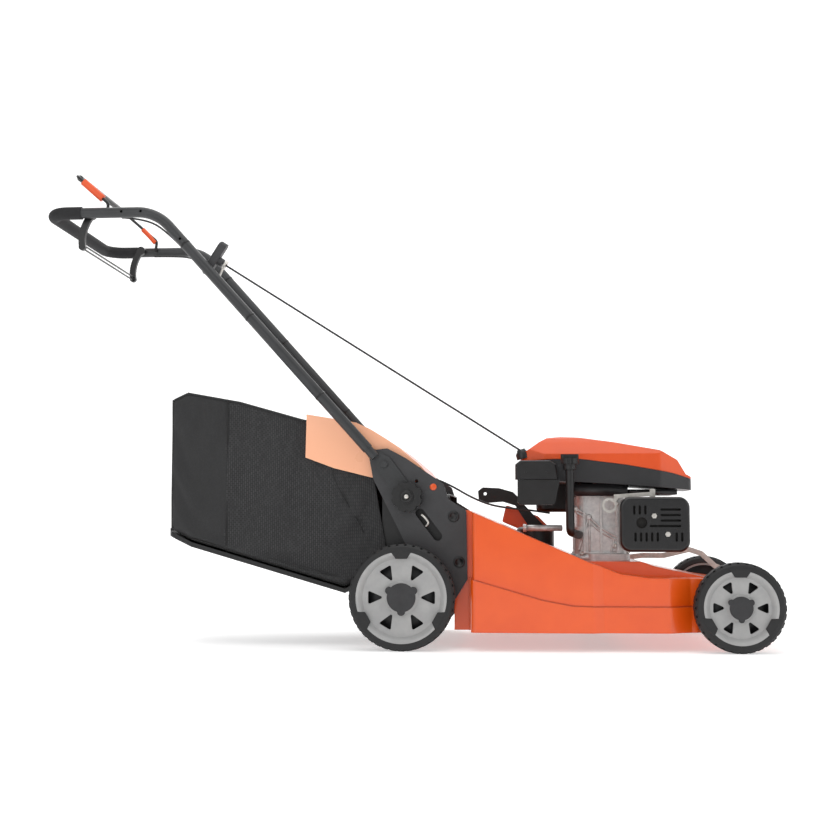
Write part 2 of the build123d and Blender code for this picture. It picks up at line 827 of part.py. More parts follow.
with BuildPart() as air_filter_lid:
    with BuildSketch(side(FILTER_Y)) as face:
        with BuildLine():
            Polyline(
                (245, 371), (245, 404), (256, 413), (322, 413), (336, 404), (340, 371), close=True,
            )
        make_face()
        fillet(face.vertices().group_by(Axis.Y)[-1], radius=7)
    extrude(amount=48)
    fillet(air_filter_lid.faces().sort_by(Axis.Y)[0].edges().filter_by(lambda e: e.center().Z > 380), radius=5)
    with BuildSketch(side(FILTER_Y - 48)):
        with Locations((268, 391), (318, 391)):
            Circle(5)
    extrude(amount=2)
save(air_filter_lid, "air_filter_lid")

with BuildPart() as fuel_tank:
    with BuildSketch(plan(300)):
        with Locations((392, 160)):
            RectangleRounded(190, 72, 22)
    extrude(amount=96)
    fillet(fuel_tank.faces().sort_by(Axis.Z)[-1].edges(), radius=10)
    fillet(fuel_tank.faces().sort_by(Axis.Z)[0].edges(), radius=10)
    with BuildSketch(plan(395)):
        with Locations((352, 160)):
            Circle(19)
    extrude(amount=16)
    # bracket arms to the crankcase
    with BuildSketch(side(125)):
        with Locations((400, 318), (470, 318)):
            Rectangle(22, 12)
    extrude(amount=55.8)
save(fuel_tank, "fuel_tank")

with BuildPart() as fuel_cap:
    with BuildSketch(plan(411.3)):
        with Locations((352, 160)):
            Circle(27)
            with PolarLocations(27.5, 10):
                Circle(3, mode=Mode.SUBTRACT)
    extrude(amount=20)
    fillet(fuel_cap.faces().sort_by(Axis.Z)[-1].edges(), radius=2)
save(fuel_cap, "fuel_cap")

# Oil filler: a bent tube from the crankcase boss up to a capped mouth by the air filter
FILLER = (366.0, -172.0)
filler_bend = rod([
    at(390, -75.3, 247), at(386, -110, 247), at(*FILLER, 254), at(*FILLER, 400),
], 9.5, (20, 12))
with BuildPart() as oil_filler_tube:
    add(filler_bend)
    with BuildSketch(plan(392)):
        with Locations(FILLER):
            Circle(15)
    extrude(amount=12)
save(oil_filler_tube, "oil_filler_tube")

with BuildPart() as dipstick_cap:
    with BuildSketch(plan(404.3)):
        with Locations(FILLER):
            Circle(21)
            with PolarLocations(23, 4):
                Circle(6, mode=Mode.SUBTRACT)
    extrude(amount=12)
    with BuildSketch(plan(416)):
        with Locations(FILLER):
            SlotOverall(40, 12)
    extrude(amount=10)
save(dipstick_cap, "dipstick_cap")

# Muffler and its guard
GUARD_Y = -146.0
GUARD_DEEP = 46.0
with BuildPart() as muffler:
    with BuildSketch(side(GUARD_Y + 8)):
        with Locations((550, 268)):
            RectangleRounded(124, 96, 18)
    extrude(amount=44)
    with BuildSketch(side(-110.3)):
        with Locations((548, 284)):
            Circle(13)
    extrude(amount=30)
save(muffler, "muffler")

with BuildPart() as muffler_guard:
    with BuildSketch(side(GUARD_Y)):
        with Locations((550, 270.5)):
            RectangleRounded(152, 121, 24)
    extrude(amount=GUARD_DEEP)
    fillet(muffler_guard.faces().sort_by(Axis.Y)[0].edges(), radius=7)
    with BuildSketch(side(GUARD_Y)):
        with Locations((550, 270.5)):
            RectangleRounded(148, 117, 22)
    extrude(amount=GUARD_DEEP - 2.5, mode=Mode.SUBTRACT)
    with BuildSketch(side(GUARD_Y - GUARD_DEEP + 8)):
        # upright slots at the upper left and along the bottom
        with Locations((505, 302), (517, 302), (529, 302)):
            SlotOverall(20, 5, rotation=90)
        with Locations((507, 243), (519, 243), (531, 243), (543, 243), (555, 243), (596, 243), (608, 243)):
            SlotOverall(20, 5, rotation=90)
        # level slots at the upper right, the last one long
        with Locations((584, 303), (584, 291), (584, 279)):
            SlotOverall(44, 5)
        with Locations((572, 267)):
            SlotOverall(68, 5)
        with Locations((521, 274)):
            Circle(12)
    extrude(amount=20, mode=Mode.SUBTRACT)
save(muffler_guard, "muffler_guard")

with BuildPart() as guard_screws:
    with BuildSketch(side(GUARD_Y - GUARD_DEEP)):
        with Locations((548, 289), (577, 249)):
            RegularPolygon(6, 6)
    extrude(amount=4)
save(guard_screws, "guard_screws")

with BuildPart() as exhaust_bracket:
    with BuildSketch(side(-124)):
        with Locations((456, 313)):
            Circle(17)
            Circle(11, mode=Mode.SUBTRACT)
        with Locations(Location((512, 336), 4)):
            Rectangle(92, 9)
        with Locations(Location((468, 325), 50)):
            Rectangle(14, 9)
    extrude(amount=4)
    with BuildSketch(side(-119)):
        with Locations((552, 340)):
            RectangleRounded(12, 20, 3)
    extrude(amount=9)
save(exhaust_bracket, "exhaust_bracket")

# Handle ---------------------------------------------------------------------------------------
TUBE_END = (-80.0, 436.8)
TUBE_BEND = (-566.5, 980.0)
CORNER = 45.0


def handle_half(hand):
    """Centre line of one side of the handle, from its lower end up to the rear corner."""
    y = hand * TUBE_Y
    return [
        at(TUBE_END[0], y, TUBE_END[1]), at(TUBE_BEND[0], y, HANDLE_TOP), at(GRIP_X, y, HANDLE_TOP),
    ]


with BuildPart() as handle_tube:
    with BuildLine() as handle_line:
        FilletPolyline(*handle_half(-1), *reversed(handle_half(1)), radius=(100, CORNER, CORNER, 100))
    with BuildSketch(Plane(origin=handle_line.line @ 0, z_dir=handle_line.line % 0)):
        Circle(TUBE_RADIUS)
        Circle(TUBE_RADIUS - TUBE_WALL, mode=Mode.SUBTRACT)
    sweep(path=handle_line.line)
    # bail holes in the inner wall, accessory holes straight through the right tube
    for hand in (-1, 1):
        with BuildSketch(outward(hand, TUBE_Y - 20)):
            with Locations((-hand * ENGINE_BAIL[0], ENGINE_BAIL[1]), (-hand * DRIVE_BAIL[0], DRIVE_BAIL[1])):
                Circle(4)
        extrude(amount=20, mode=Mode.SUBTRACT)
    with BuildSketch(side(-TUBE_Y + 20)):
        with Locations((-645, HANDLE_TOP), (-600, HANDLE_TOP), (-508, 914.7)):
            Circle(3.2)
    extrude(amount=40, mode=Mode.SUBTRACT)
save(handle_tube, "handle_tube")

with BuildPart() as grip_sleeve:
    with BuildLine() as grip_line:
        FilletPolyline(
            at(-740, -TUBE_Y, HANDLE_TOP), at(GRIP_X, -TUBE_Y, HANDLE_TOP),
            at(GRIP_X, TUBE_Y, HANDLE_TOP), at(-740, TUBE_Y, HANDLE_TOP), radius=CORNER,
        )
    with BuildSketch(Plane(origin=grip_line.line @ 0, z_dir=grip_line.line % 0)):
        Circle(GRIP_RADIUS)
        Circle(TUBE_RADIUS + 0.1, mode=Mode.SUBTRACT)
    sweep(path=grip_line.line)
save(grip_sleeve, "grip_sleeve")

# Feet: flattened ends plugged into the tube, which turn on the lock knobs' bolts
ALONG = Vector(TUBE_BEND[0] - TUBE_END[0], 0, TUBE_BEND[1] - TUBE_END[1]).normalized()
with BuildPart() as handle_feet:
    for hand in (-1, 1):
        with BuildSketch(Plane(origin=at(TUBE_END[0], hand * TUBE_Y, TUBE_END[1]) - ALONG * 24, z_dir=ALONG)):
            Circle(TUBE_RADIUS - TUBE_WALL - 0.1)
        extrude(amount=84)
        with BuildSketch(outward(hand, PLATE_OUTER + 1)):
            with Locations((hand * 71, 427)):
                Circle(11.5)
            with Locations((hand * 44, 403)):
                Circle(19)
            make_hull()
        extrude(amount=6)
        with BuildSketch(outward(hand, PLATE_OUTER + 1)):
            with Locations((hand * 44, 403)):
                Circle(19)
            with Locations((-hand * FOLD[0], FOLD[1])):
                Circle(21)
            make_hull()
        extrude(amount=6)
        with BuildSketch(outward(hand, PLATE_OUTER)):
            with Locations((-hand * FOLD[0], FOLD[1])):
                Circle(5 + FIT)
        extrude(amount=10, mode=Mode.SUBTRACT)
        # bolt head that clamps tube to foot
        with BuildSketch(outward(hand, PLATE_OUTER + 6)):
            with Locations((hand * 44, 403)):
                RegularPolygon(8, 6)
        extrude(amount=6)
save(handle_feet, "handle_feet")


def lock_knob(hand):
    """A lobed hand knob on the bolt that the handle folds about."""
    with BuildPart() as knob:
        with BuildSketch(outward(hand, PLATE_INNER - 4)):
            with Locations((-hand * FOLD[0], FOLD[1])):
                Circle(5)
        extrude(amount=24)
        with BuildSketch(outward(hand, PLATE_INNER - 8)):
            with Locations((-hand * FOLD[0], FOLD[1])):
                RegularPolygon(9, 6)
        extrude(amount=7.5)
        with BuildSketch(outward(hand, PLATE_OUTER + 8)) as lobes:
            with Locations((-hand * FOLD[0], FOLD[1])):
                Circle(34)
                with PolarLocations(37, 8):
                    Circle(7, mode=Mode.SUBTRACT)
        extrude(amount=20)
        with BuildSketch(outward(hand, PLATE_OUTER + 8)):
            with Locations((-hand * FOLD[0], FOLD[1])):
                Circle(15)
        extrude(amount=25)
    return knob


for hand, name in ((-1, "right"), (1, "left")):
    save(lock_knob(hand), f"lock_knob_{name}")

# Rope guide on the right tube: a clip, a bent wire and its eye
GUIDE_Y = -184.0
GUIDE_EYE = (-414.0, 862.0)
guide_wire = rod([at(-430, -TUBE_Y + 12.2, 828), at(-430, GUIDE_Y, 828), at(-420, GUIDE_Y, 852.5)], 2.5, 7)
with BuildPart() as rope_guide:
    add(guide_wire)
    with BuildSketch(Plane(origin=at(GUIDE_EYE[0], GUIDE_Y, GUIDE_EYE[1]), z_dir=(0.848, 0.1, -0.53))):
        Circle(11)
        Circle(5, mode=Mode.SUBTRACT)
    extrude(amount=2.5, both=True)
save(rope_guide, "rope_guide")

# Recoil starter: the grip parked on the guide, and its rope down to the engine
PULL = Vector(-0.848, -0.1, 0.53).normalized()
ROPE_END = at(262, -96, 436)
EYE = at(GUIDE_EYE[0], GUIDE_Y, GUIDE_EYE[1])
with BuildPart() as starter_grip:
    grip_plane = Plane(origin=EYE + PULL * 18, x_dir=(0.53, 0, 0.848), z_dir=PULL)
    with BuildSketch(grip_plane):
        SlotOverall(86, 22)
    extrude(amount=20)
    fillet(starter_grip.edges().group_by(Axis(EYE, PULL))[-1], radius=7)
    with BuildSketch(Plane(origin=EYE + PULL * 6, z_dir=PULL)):
        Circle(10)
    extrude(amount=14)
save(starter_grip, "starter_grip")

ROPE = (ROPE_END - EYE).normalized()
with BuildPart() as starter_rope:
    with BuildSketch(Plane(origin=EYE + PULL * 5.5, z_dir=ROPE)):
        Circle(2.2)
    extrude(amount=(ROPE_END - EYE).length + 4)
save(starter_rope, "starter_rope")

# Bails ----------------------------------------------------------------------------------------
LEG_Y = 202.0
BAIL_BAR = (-764.0, 1076.0)


def bail_leg(hand):
    """Centre line of one leg of the engine bail, from its pivot in the tube to the cross bar."""
    y = hand * LEG_Y
    return [
        at(ENGINE_BAIL[0], hand * (TUBE_Y - 2), ENGINE_BAIL[1]), at(ENGINE_BAIL[0], y, ENGINE_BAIL[1]),
        at(-684, y, 1006), at(BAIL_BAR[0], y, BAIL_BAR[1]),
    ]


bail_wire = rod([*bail_leg(-1), *reversed(bail_leg(1))], 3.5, (4, 14, 24, 24, 14, 4))
with BuildPart() as engine_bail:
    add(bail_wire)
    # black sleeve on the cross bar
    with BuildSketch(side(168)):
        with Locations(BAIL_BAR):
            Circle(7)
    extrude(amount=336)
save(engine_bail, "engine_bail")

with BuildPart() as bail_lever:
    # moulded thumb piece along the right leg
    slope = Vector(-684 - BAIL_BAR[0], 0, 1006 - BAIL_BAR[1]).normalized()
    with BuildSketch(Plane(origin=at(BAIL_BAR[0], -LEG_Y, BAIL_BAR[1]) + slope * 27, z_dir=slope)):
        SlotOverall(17, 12)
        Circle(3.6, mode=Mode.SUBTRACT)
    extrude(amount=62)
save(bail_lever, "bail_lever")

with BuildPart() as drive_bail:
    for hand in (-1, 1):
        with BuildSketch(outward(hand, LEG_Y - 9)) as leg:
            with BuildLine() as curve:
                centre = ThreePointArc(
                    (-hand * DRIVE_BAIL[0], DRIVE_BAIL[1]), (-hand * -742, 945), (-hand * -744, 906),
                )
            trace(centre, line_width=15)
            with Locations((-hand * DRIVE_BAIL[0], DRIVE_BAIL[1])):
                Circle(11)
            with Locations((-hand * -744, 906)):
                Circle(8)
        extrude(amount=10)
        with BuildSketch(outward(hand, LEG_Y)):
            with Locations((-hand * DRIVE_BAIL[0], DRIVE_BAIL[1])):
                Circle(3.8)
        extrude(amount=15)
    # twin wires across
    for x, z in ((-744, 903), (-743, 911)):
        with BuildSketch(side(LEG_Y)):
            with Locations((x, z)):
                Circle(2)
        extrude(amount=2 * LEG_Y)
save(drive_bail, "drive_bail")

# Rear flap, resting on the bag --------------------------------------------------------------------
FLAP_LINE = ((60, 371), (36, 400), (-9, 438), (-42, 461), (-76, 482), (-110, 498), (-167, 508), (-222, 517))
FLAP_SHEET = 2.5
with BuildPart() as rear_flap:
    # deck of the flap, as a folded sheet, with side skirts and hinge knuckles
    with BuildSketch(side(FLAP_HALF)) as fold:
        with BuildLine():
            Polyline(*FLAP_LINE, *((x - 1, z - FLAP_SHEET - 1) for x, z in reversed(FLAP_LINE)), close=True)
        make_face()
    extrude(amount=2 * FLAP_HALF)
    for hand in (-1, 1):
        edge = (*FLAP_LINE[1:], (-224, 420), (-160, 396), (-76, 375), (-30, 372), (10, 378))
        with BuildSketch(outward(hand, FLAP_HALF - 2.4)):
            with BuildLine():
                Polyline(*((-hand * x, z) for x, z in edge), close=True)
            make_face()
        extrude(amount=2.4)
    for y in (-170, -60, 60, 170):
        with BuildSketch(side(y + 15)):
            with Locations(FLAP_HINGE):
                Circle(7)
            with BuildLine():
                Polyline((57, 353), (71, 353), (62, 371), (48, 384), (44, 378), close=True)
            make_face()
        extrude(amount=30)
    with BuildSketch(side(PLATE_OUTER - 0.5)):
        with Locations(FLAP_HINGE):
            Circle(3)
    extrude(amount=2 * PLATE_OUTER - 1)
save(rear_flap, "rear_flap")

# Grass bag ----------------------------------------------------------------------------------------
BAG_TOP = ((-533, 556), (-496, 573), (-376, 550), (-232, 510), (-160, 497), (-112, 486), (-84, 470))
BAG_LOW = ((-34, 187), (-134, 128), (-481, 230), (-532, 256))
BAG_WALL = 3.0


def bag_block(wall):
    """The bag's outside, or its inside for the thickness of the cloth."""
    with BuildPart() as block:
        with BuildSketch(side(BAG_HALF - wall)) as profile:
            with BuildLine():
                Polyline(*BAG_TOP, *BAG_LOW, close=True)
            make_face()
            if wall:
                offset(amount=-wall, kind=Kind.INTERSECTION)
        extrude(amount=2 * (BAG_HALF - wall))
    return block.part


bag_outside = bag_block(0)
bag_inside = bag_block(BAG_WALL)
with BuildPart() as grass_bag:
    add(bag_outside)
    add(bag_inside, mode=Mode.SUBTRACT)
    # mouth, which fits round the end of the chute
    with BuildSketch(across(-110)):
        with Locations((0, 264)):
            RectangleRounded(361, 154, 16)
    extrude(amount=100, mode=Mode.SUBTRACT)
save(grass_bag, "grass_bag")

# moulded base of the bag: a shallow tray with a carrying lip along its rear edge
with BuildPart() as bag_base:
    with BuildSketch(side(BAG_HALF)):
        with BuildLine():
            Polyline(
                *((x, z - 0.3) for x, z in BAG_LOW), (-536, 262), (-536, 246), (-483, 220), (-134, 118),
                (-34, 177), close=True,
            )
        make_face()
    extrude(amount=2 * BAG_HALF)
    with BuildSketch(plan(0)):
        with Locations((-284, 0)):
            RectangleRounded(504, 2 * BAG_HALF, 20)
    extrude(amount=300, mode=Mode.INTERSECT)
save(bag_base, "bag_base")

# Control cables ---------------------------------------------------------------------------------
CABLE_RADIUS = 2.2
CABLE_Y = 203.5


def cord(points, radius):
    """A cable through its points; every bend is as large as its two runs allow."""
    radii = []
    for before, here, after in zip(points, points[1:], points[2:]):
        turn = (here - before).get_angle(after - here)
        run = min((here - before).length, (after - here).length)
        radii.append(0.45 * run / tan(radians(turn / 2)))
    print("cable bend radii", [round(bend) for bend in radii])
    return rod(points, radius, radii)


def beside_tube(hand):
    """The stretch clipped beside the handle: places along the tube, with how far it hangs under."""
    steps = ((610, 3), (552, 8), (496, 5), (437, 9), (380, 4), (322, 7), (262, 3), (205, 8), (146, 5), (92, 9), (44, 6))
    return [
        at(TUBE_END[0], hand * (CABLE_Y - drop / 9), TUBE_END[1]) + ALONG * step - Vector(-ALONG.Z, 0, ALONG.X) * -drop
        for step, drop in steps
    ]


# engine brake cable on the right, into the carburettor's side of the engine
brake_cable = cord([
    at(-652, -203, 972), at(-596, -203.5, 968), at(-545, -203.2, 938), *beside_tube(-1)[1:],
    at(-84, -197.2, 426), at(-34, -196.3, 392), at(14, -196.5, 378), at(62, -196.8, 374),
    at(104, -192, 356), at(146, -182, 331), at(190, -172, 313), at(236, -158, 306),
    at(282, -136, 302), at(322, -104, 296),
], CABLE_RADIUS)
# drive cable on the left, down behind the side plate to the gearbox
drive_cable = cord([
    at(-690, 203, 966), at(-640, 203.5, 966), at(-590, 203, 962), at(-545, 203.4, 936), *beside_tube(1)[1:],
    at(-84, 197.2, 426), at(-34, 196.3, 392), at(14, 196.5, 378), at(58, 196, 372),
    at(84, 190, 338), at(89, 188.5, 292), at(91, 189, 246), at(88, 186, 205), at(84, 166, 168),
    at(76, 126, 158), at(66, 88, 156), at(52, 54, 146), at(36, 37, 134),
], CABLE_RADIUS)
with BuildPart() as control_cables:
    add(brake_cable)
    add(drive_cable)
save(control_cables, "control_cables")
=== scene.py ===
"""The looks of a rotary lawn mower with a rear bag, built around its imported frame."""
from math import cos, pi, radians, sin, sqrt

import bmesh
import bpy
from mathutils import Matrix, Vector


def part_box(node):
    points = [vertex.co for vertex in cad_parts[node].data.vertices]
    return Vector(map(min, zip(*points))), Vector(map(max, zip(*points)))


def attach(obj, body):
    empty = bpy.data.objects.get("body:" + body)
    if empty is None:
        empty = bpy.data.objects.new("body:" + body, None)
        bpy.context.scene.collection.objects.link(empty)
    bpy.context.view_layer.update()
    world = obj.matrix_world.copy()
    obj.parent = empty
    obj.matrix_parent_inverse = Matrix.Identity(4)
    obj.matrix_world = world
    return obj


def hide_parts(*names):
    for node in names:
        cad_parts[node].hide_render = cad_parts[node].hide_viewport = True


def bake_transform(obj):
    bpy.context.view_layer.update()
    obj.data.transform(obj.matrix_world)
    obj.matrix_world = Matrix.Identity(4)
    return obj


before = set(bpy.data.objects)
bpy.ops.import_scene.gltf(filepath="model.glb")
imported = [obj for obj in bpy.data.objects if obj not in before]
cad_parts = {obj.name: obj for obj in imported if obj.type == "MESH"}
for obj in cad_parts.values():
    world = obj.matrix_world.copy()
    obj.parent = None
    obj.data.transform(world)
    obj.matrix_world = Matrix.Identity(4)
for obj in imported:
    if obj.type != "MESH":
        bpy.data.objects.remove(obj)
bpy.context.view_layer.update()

# Stage ------------------------------------------------------------------------------------------
# A pale seamless floor, a camera 0.28 m above it on the mower's right, and four large soft lamps:
# one overhead, one on the camera's side, one low in front and one behind. The floor glows a little.


def linear(hex_colour):
    """An sRGB hex colour as the linear RGBA that a shader takes."""
    parts = [int(hex_colour[i:i + 2], 16) / 255 for i in (1, 3, 5)]
    return (*(c / 12.92 if c <= 0.04045 else ((c + 0.055) / 1.055) ** 2.4 for c in parts), 1.0)


def add_node(tree, kind, settings=(), links=()):
    """Add one shader node: its settings or socket values by name, and the sockets it is fed from."""
    made = tree.nodes.new(kind)
    for name, value in dict(settings).items():
        if isinstance(name, str) and hasattr(made, name):
            setattr(made, name, value)
        else:
            made.inputs[name].default_value = value
    for name, socket in dict(links).items():
        tree.links.new(socket, made.inputs[name])
    return made


def new_material(name):
    """An empty node material, its tree and its output node."""
    material = bpy.data.materials.new(name)
    material.use_nodes = True
    material.node_tree.nodes.clear()
    output = material.node_tree.nodes.new("ShaderNodeOutputMaterial")
    return material, material.node_tree, output


MM = 0.001
AXLE = Vector((0.010, 0, 0))  # the ground point under the rear axle, which places below start from


def at(x, y, z):
    """A place in millimetres from the ground under the rear axle, in the frame's metres."""
    return AXLE + Vector((x, y, z)) * MM


def painted_floor():
    """Matt pale studio paper: even, with a barely visible fibre."""
    material, tree, output = new_material("studio_paper")
    place = add_node(tree, "ShaderNodeTexCoord")
    fibre = add_node(
        tree, "ShaderNodeTexNoise", {"Scale": 900, "Detail": 3}, {"Vector": place.outputs["Object"]}
    )
    tone = add_node(tree, "ShaderNodeValToRGB", links={"Fac": fibre.outputs["Fac"]})
    tone.color_ramp.elements[0].color = linear("#EFEFEF")
    tone.color_ramp.elements[1].color = linear("#F6F6F6")
    shader = add_node(
        tree, "ShaderNodeBsdfPrincipled",
        {"Roughness": 0.9, "Emission Color": linear("#FFFFFF"), "Emission Strength": 0.42},
        {"Base Color": tone.outputs["Color"]},
    )
    tree.links.new(shader.outputs["BSDF"], output.inputs["Surface"])
    return material


def sweep_floor():
    """A floor that curves up far behind the mower, in one sheet."""
    mesh = bpy.data.meshes.new("floor")
    bend_start, bend = 2.2, 1.5
    profile = [(-9, 0), (bend_start, 0)]
    for step in range(1, 13):
        turn = step * pi / 24
        profile.append((bend_start + bend * sin(turn), bend - bend * cos(turn)))
    profile.append((bend_start + bend, 7))
    verts = [(x, y, z) for y, z in profile for x in (-11, 11)]
    faces = [(2 * i, 2 * i + 1, 2 * i + 3, 2 * i + 2) for i in range(len(profile) - 1)]
    mesh.from_pydata(verts, [], faces)
    for face in mesh.polygons:
        face.use_smooth = True
    floor = bpy.data.objects.new("floor", mesh)
    bpy.context.scene.collection.objects.link(floor)
    floor.data.materials.append(painted_floor())


def soft_lamp(name, place, target, size, watts):
    """A square lamp aimed at a point."""
    lamp = bpy.data.lights.new(name, "AREA")
    lamp.shape = "SQUARE"
    lamp.size = size
    lamp.energy = watts
    stand = bpy.data.objects.new(name, lamp)
    stand.location = place
    stand.rotation_euler = (Vector(target) - Vector(place)).to_track_quat("-Z", "Y").to_euler()
    bpy.context.scene.collection.objects.link(stand)


sweep_floor()
soft_lamp("overhead", (0.2, -0.6, 3.4), (0, 0, 0.3), 3.2, 46)
soft_lamp("near_side", (-1.6, -3.6, 1.9), (0.1, 0, 0.35), 2.4, 26)
soft_lamp("front_low", (3.2, -1.6, 1.2), (0.3, 0, 0.3), 1.6, 12)
soft_lamp("behind", (-0.6, 2.0, 2.4), (0, 0, 0.3), 2.0, 20)

world = bpy.data.worlds.new("studio")
world.use_nodes = True
world.node_tree.nodes["Background"].inputs["Color"].default_value = linear("#FFFFFF")
world.node_tree.nodes["Background"].inputs["Strength"].default_value = 0.5
bpy.context.scene.world = world
bpy.context.scene.view_settings.view_transform = "Standard"

CAMERA_AT = at(241.6, -3046.2, 278.2)
YAW = radians(4.345)
PITCH = radians(4.667)
LENS_MM = 55.59
camera = bpy.data.objects.new("camera", bpy.data.cameras.new("camera"))
camera.data.lens = LENS_MM
camera.data.sensor_width = 36
camera.location = CAMERA_AT
camera.rotation_euler = (pi / 2 + PITCH, 0, YAW)
bpy.context.scene.collection.objects.link(camera)
bpy.context.scene.camera = camera


# Deck ---------------------------------------------------------------------------------------------
# One deep-drawn steel shell, welded, phosphated and powder coated orange. The coat is thick and
# glossy, so its surface has the faint orange peel of baked powder and picks up broad reflections.


def paint(
    name, shades, roughness, metallic=0.0, cloud_mm=60, peel_mm=1.5, peel=0.03, coat=0.0, edge_mm=0.0
):
    """A coloured skin: slow clouds between two shades, uneven gloss, a fine relief and soft edges."""
    rough_spread = 0.08
    material, tree, output = new_material(name)
    place = add_node(tree, "ShaderNodeTexCoord")
    clouds = add_node(
        tree, "ShaderNodeTexNoise", {"Scale": 1 / (cloud_mm * MM), "Detail": 4, "Roughness": 0.6},
        {"Vector": place.outputs["Object"]},
    )
    tone = add_node(tree, "ShaderNodeValToRGB", links={"Fac": clouds.outputs["Fac"]})
    tone.color_ramp.elements[0].position = 0.3
    tone.color_ramp.elements[1].position = 0.7
    for stop, shade in zip(tone.color_ramp.elements, shades):
        stop.color = linear(shade)
    gloss = add_node(
        tree, "ShaderNodeMapRange",
        {"To Min": roughness - rough_spread, "To Max": roughness + rough_spread},
        {"Value": clouds.outputs["Fac"]},
    )
    relief = add_node(
        tree, "ShaderNodeTexNoise", {"Scale": 1 / (peel_mm * MM), "Detail": 2},
        {"Vector": place.outputs["Object"]},
    )
    bump = add_node(
        tree, "ShaderNodeBump", {"Strength": peel, "Distance": 0.4 * MM}, {"Height": relief.outputs["Fac"]}
    )
    if edge_mm:
        soft = add_node(tree, "ShaderNodeBevel", {"samples": 4, "Radius": edge_mm * MM})
        tree.links.new(soft.outputs["Normal"], bump.inputs["Normal"])
    shader = add_node(
        tree, "ShaderNodeBsdfPrincipled",
        {"Metallic": metallic, "Coat Weight": coat, "Coat Roughness": 0.08},
        {
            "Base Color": tone.outputs["Color"], "Roughness": gloss.outputs["Result"],
            "Normal": bump.outputs["Normal"],
        },
    )
    tree.links.new(shader.outputs["BSDF"], output.inputs["Surface"])
    return material


def cad(name):
    """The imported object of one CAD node."""
    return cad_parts[name]


def finish_node(name, material, bevel=0.0):
    """Give a CAD node its material, and a small rounded edge where its size calls for one."""
    piece = cad(name)
    piece.data.materials.clear()
    piece.data.materials.append(material)
    if bevel:
        edge = piece.modifiers.new("edge", "BEVEL")
        edge.width = bevel * MM
        edge.segments = 2
        edge.limit_method = "ANGLE"
        edge.angle_limit = radians(35)
        edge.harden_normals = False


deck_enamel = paint(
    "baked_powder_coat_orange", ("#DE4E02", "#E9590A"), 0.3, cloud_mm=140, peel_mm=1.6, peel=0.05,
    coat=0.45, edge_mm=5,
)
finish_node("deck_shell", deck_enamel)
finish_node("height_quadrant", deck_enamel)
black_abs = paint("moulded_black_abs", ("#0B0B0C", "#121213"), 0.38, cloud_mm=25, peel_mm=0.8, peel=0.12)
for name in ("discharge_chute", "front_bearing_blocks", "belt_cover", "height_lever"):
    finish_node(name, black_abs)

# Side plates --------------------------------------------------------------------------------------
# Glass-filled nylon brackets on each side, moulded in dark grey with a spark-eroded texture. They
# look satin with a fine even grain, and carry round plugs and a steel clip in the height slot.

grey_nylon = paint("moulded_grey_nylon", ("#2F2F31", "#38383A"), 0.44, cloud_mm=45, peel_mm=0.9, peel=0.16)
for name in ("side_plate_right", "side_plate_left"):
    finish_node(name, grey_nylon, bevel=1.2)


def new_piece(name, bm, body, material):
    """Turn a bmesh into a piece that rides on a body; with no body it is left unattached."""
    mesh = bpy.data.meshes.new(name)
    bmesh.ops.recalc_face_normals(bm, faces=bm.faces)
    bm.to_mesh(mesh)
    bm.free()
    for face in mesh.polygons:
        face.use_smooth = True
    piece = bpy.data.objects.new(name, mesh)
    bpy.context.scene.collection.objects.link(piece)
    piece.data.materials.append(material)
    if body:
        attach(piece, body)
    return piece


def turned(bm, centre, axis, profile, turns=48):
    """A turned form: rings of (distance along the axis, radius) about a centre, both in millimetres."""
    axis = Vector(axis).normalized()
    aside = axis.orthogonal().normalized()
    other = axis.cross(aside)
    rings = []
    for along, radius in profile:
        if radius < 0.01:
            rings.append([bm.verts.new(centre + axis * along * MM)])
            continue
        rings.append([
            bm.verts.new(centre + (axis * along + (aside * cos(t) + other * sin(t)) * radius) * MM)
            for t in (2 * pi * i / turns for i in range(turns))
        ])
    for low, high in zip(rings, rings[1:]):
        for i in range(turns):
            j = (i + 1) % turns
            corners = [low[i % len(low)], low[j % len(low)], high[j % len(high)], high[i % len(high)]]
            unique = list(dict.fromkeys(corners))
            if len(unique) > 2:
                bm.faces.new(unique)


def tube_along(bm, points, radius, turns=16, close_ends=True):
    """A round bar whose rings stand square to a line of points, radius in millimetres."""
    rings = []
    aside = None
    for i, point in enumerate(points):
        ahead = (points[min(i + 1, len(points) - 1)] - points[max(i - 1, 0)]).normalized()
        if aside is None:
            aside = ahead.orthogonal().normalized()
        aside = (aside - ahead * aside.dot(ahead)).normalized()
        other = ahead.cross(aside)
        wide = (radius(i / (len(points) - 1)) if callable(radius) else radius) * MM
        rings.append([
            bm.verts.new(point + (aside * cos(t) + other * sin(t)) * wide)
            for t in (2 * pi * k / turns for k in range(turns))
        ])
    for low, high in zip(rings, rings[1:]):
        for k in range(turns):
            bm.faces.new([low[k], low[(k + 1) % turns], high[(k + 1) % turns], high[k]])
    if close_ends:
        bm.faces.new(rings[0][::-1])
        bm.faces.new(rings[-1])


def smooth_line(points, steps=10):
    """A soft curve through a short list of places, as closely spaced points."""
    line = []
    padded = [points[0] * 2 - points[1], *points, points[-1] * 2 - points[-2]]
    for a, b, c, d in zip(padded, padded[1:], padded[2:], padded[3:]):
        for k in range(steps):
            t = k / steps
            quadratic = (2 * a - 5 * b + 4 * c - d) * t ** 2
            cubic = (3 * b - a - 3 * c + d) * t ** 3
            line.append(0.5 * (2 * b + (c - a) * t + quadratic + cubic))
    line.append(points[-1])
    return line


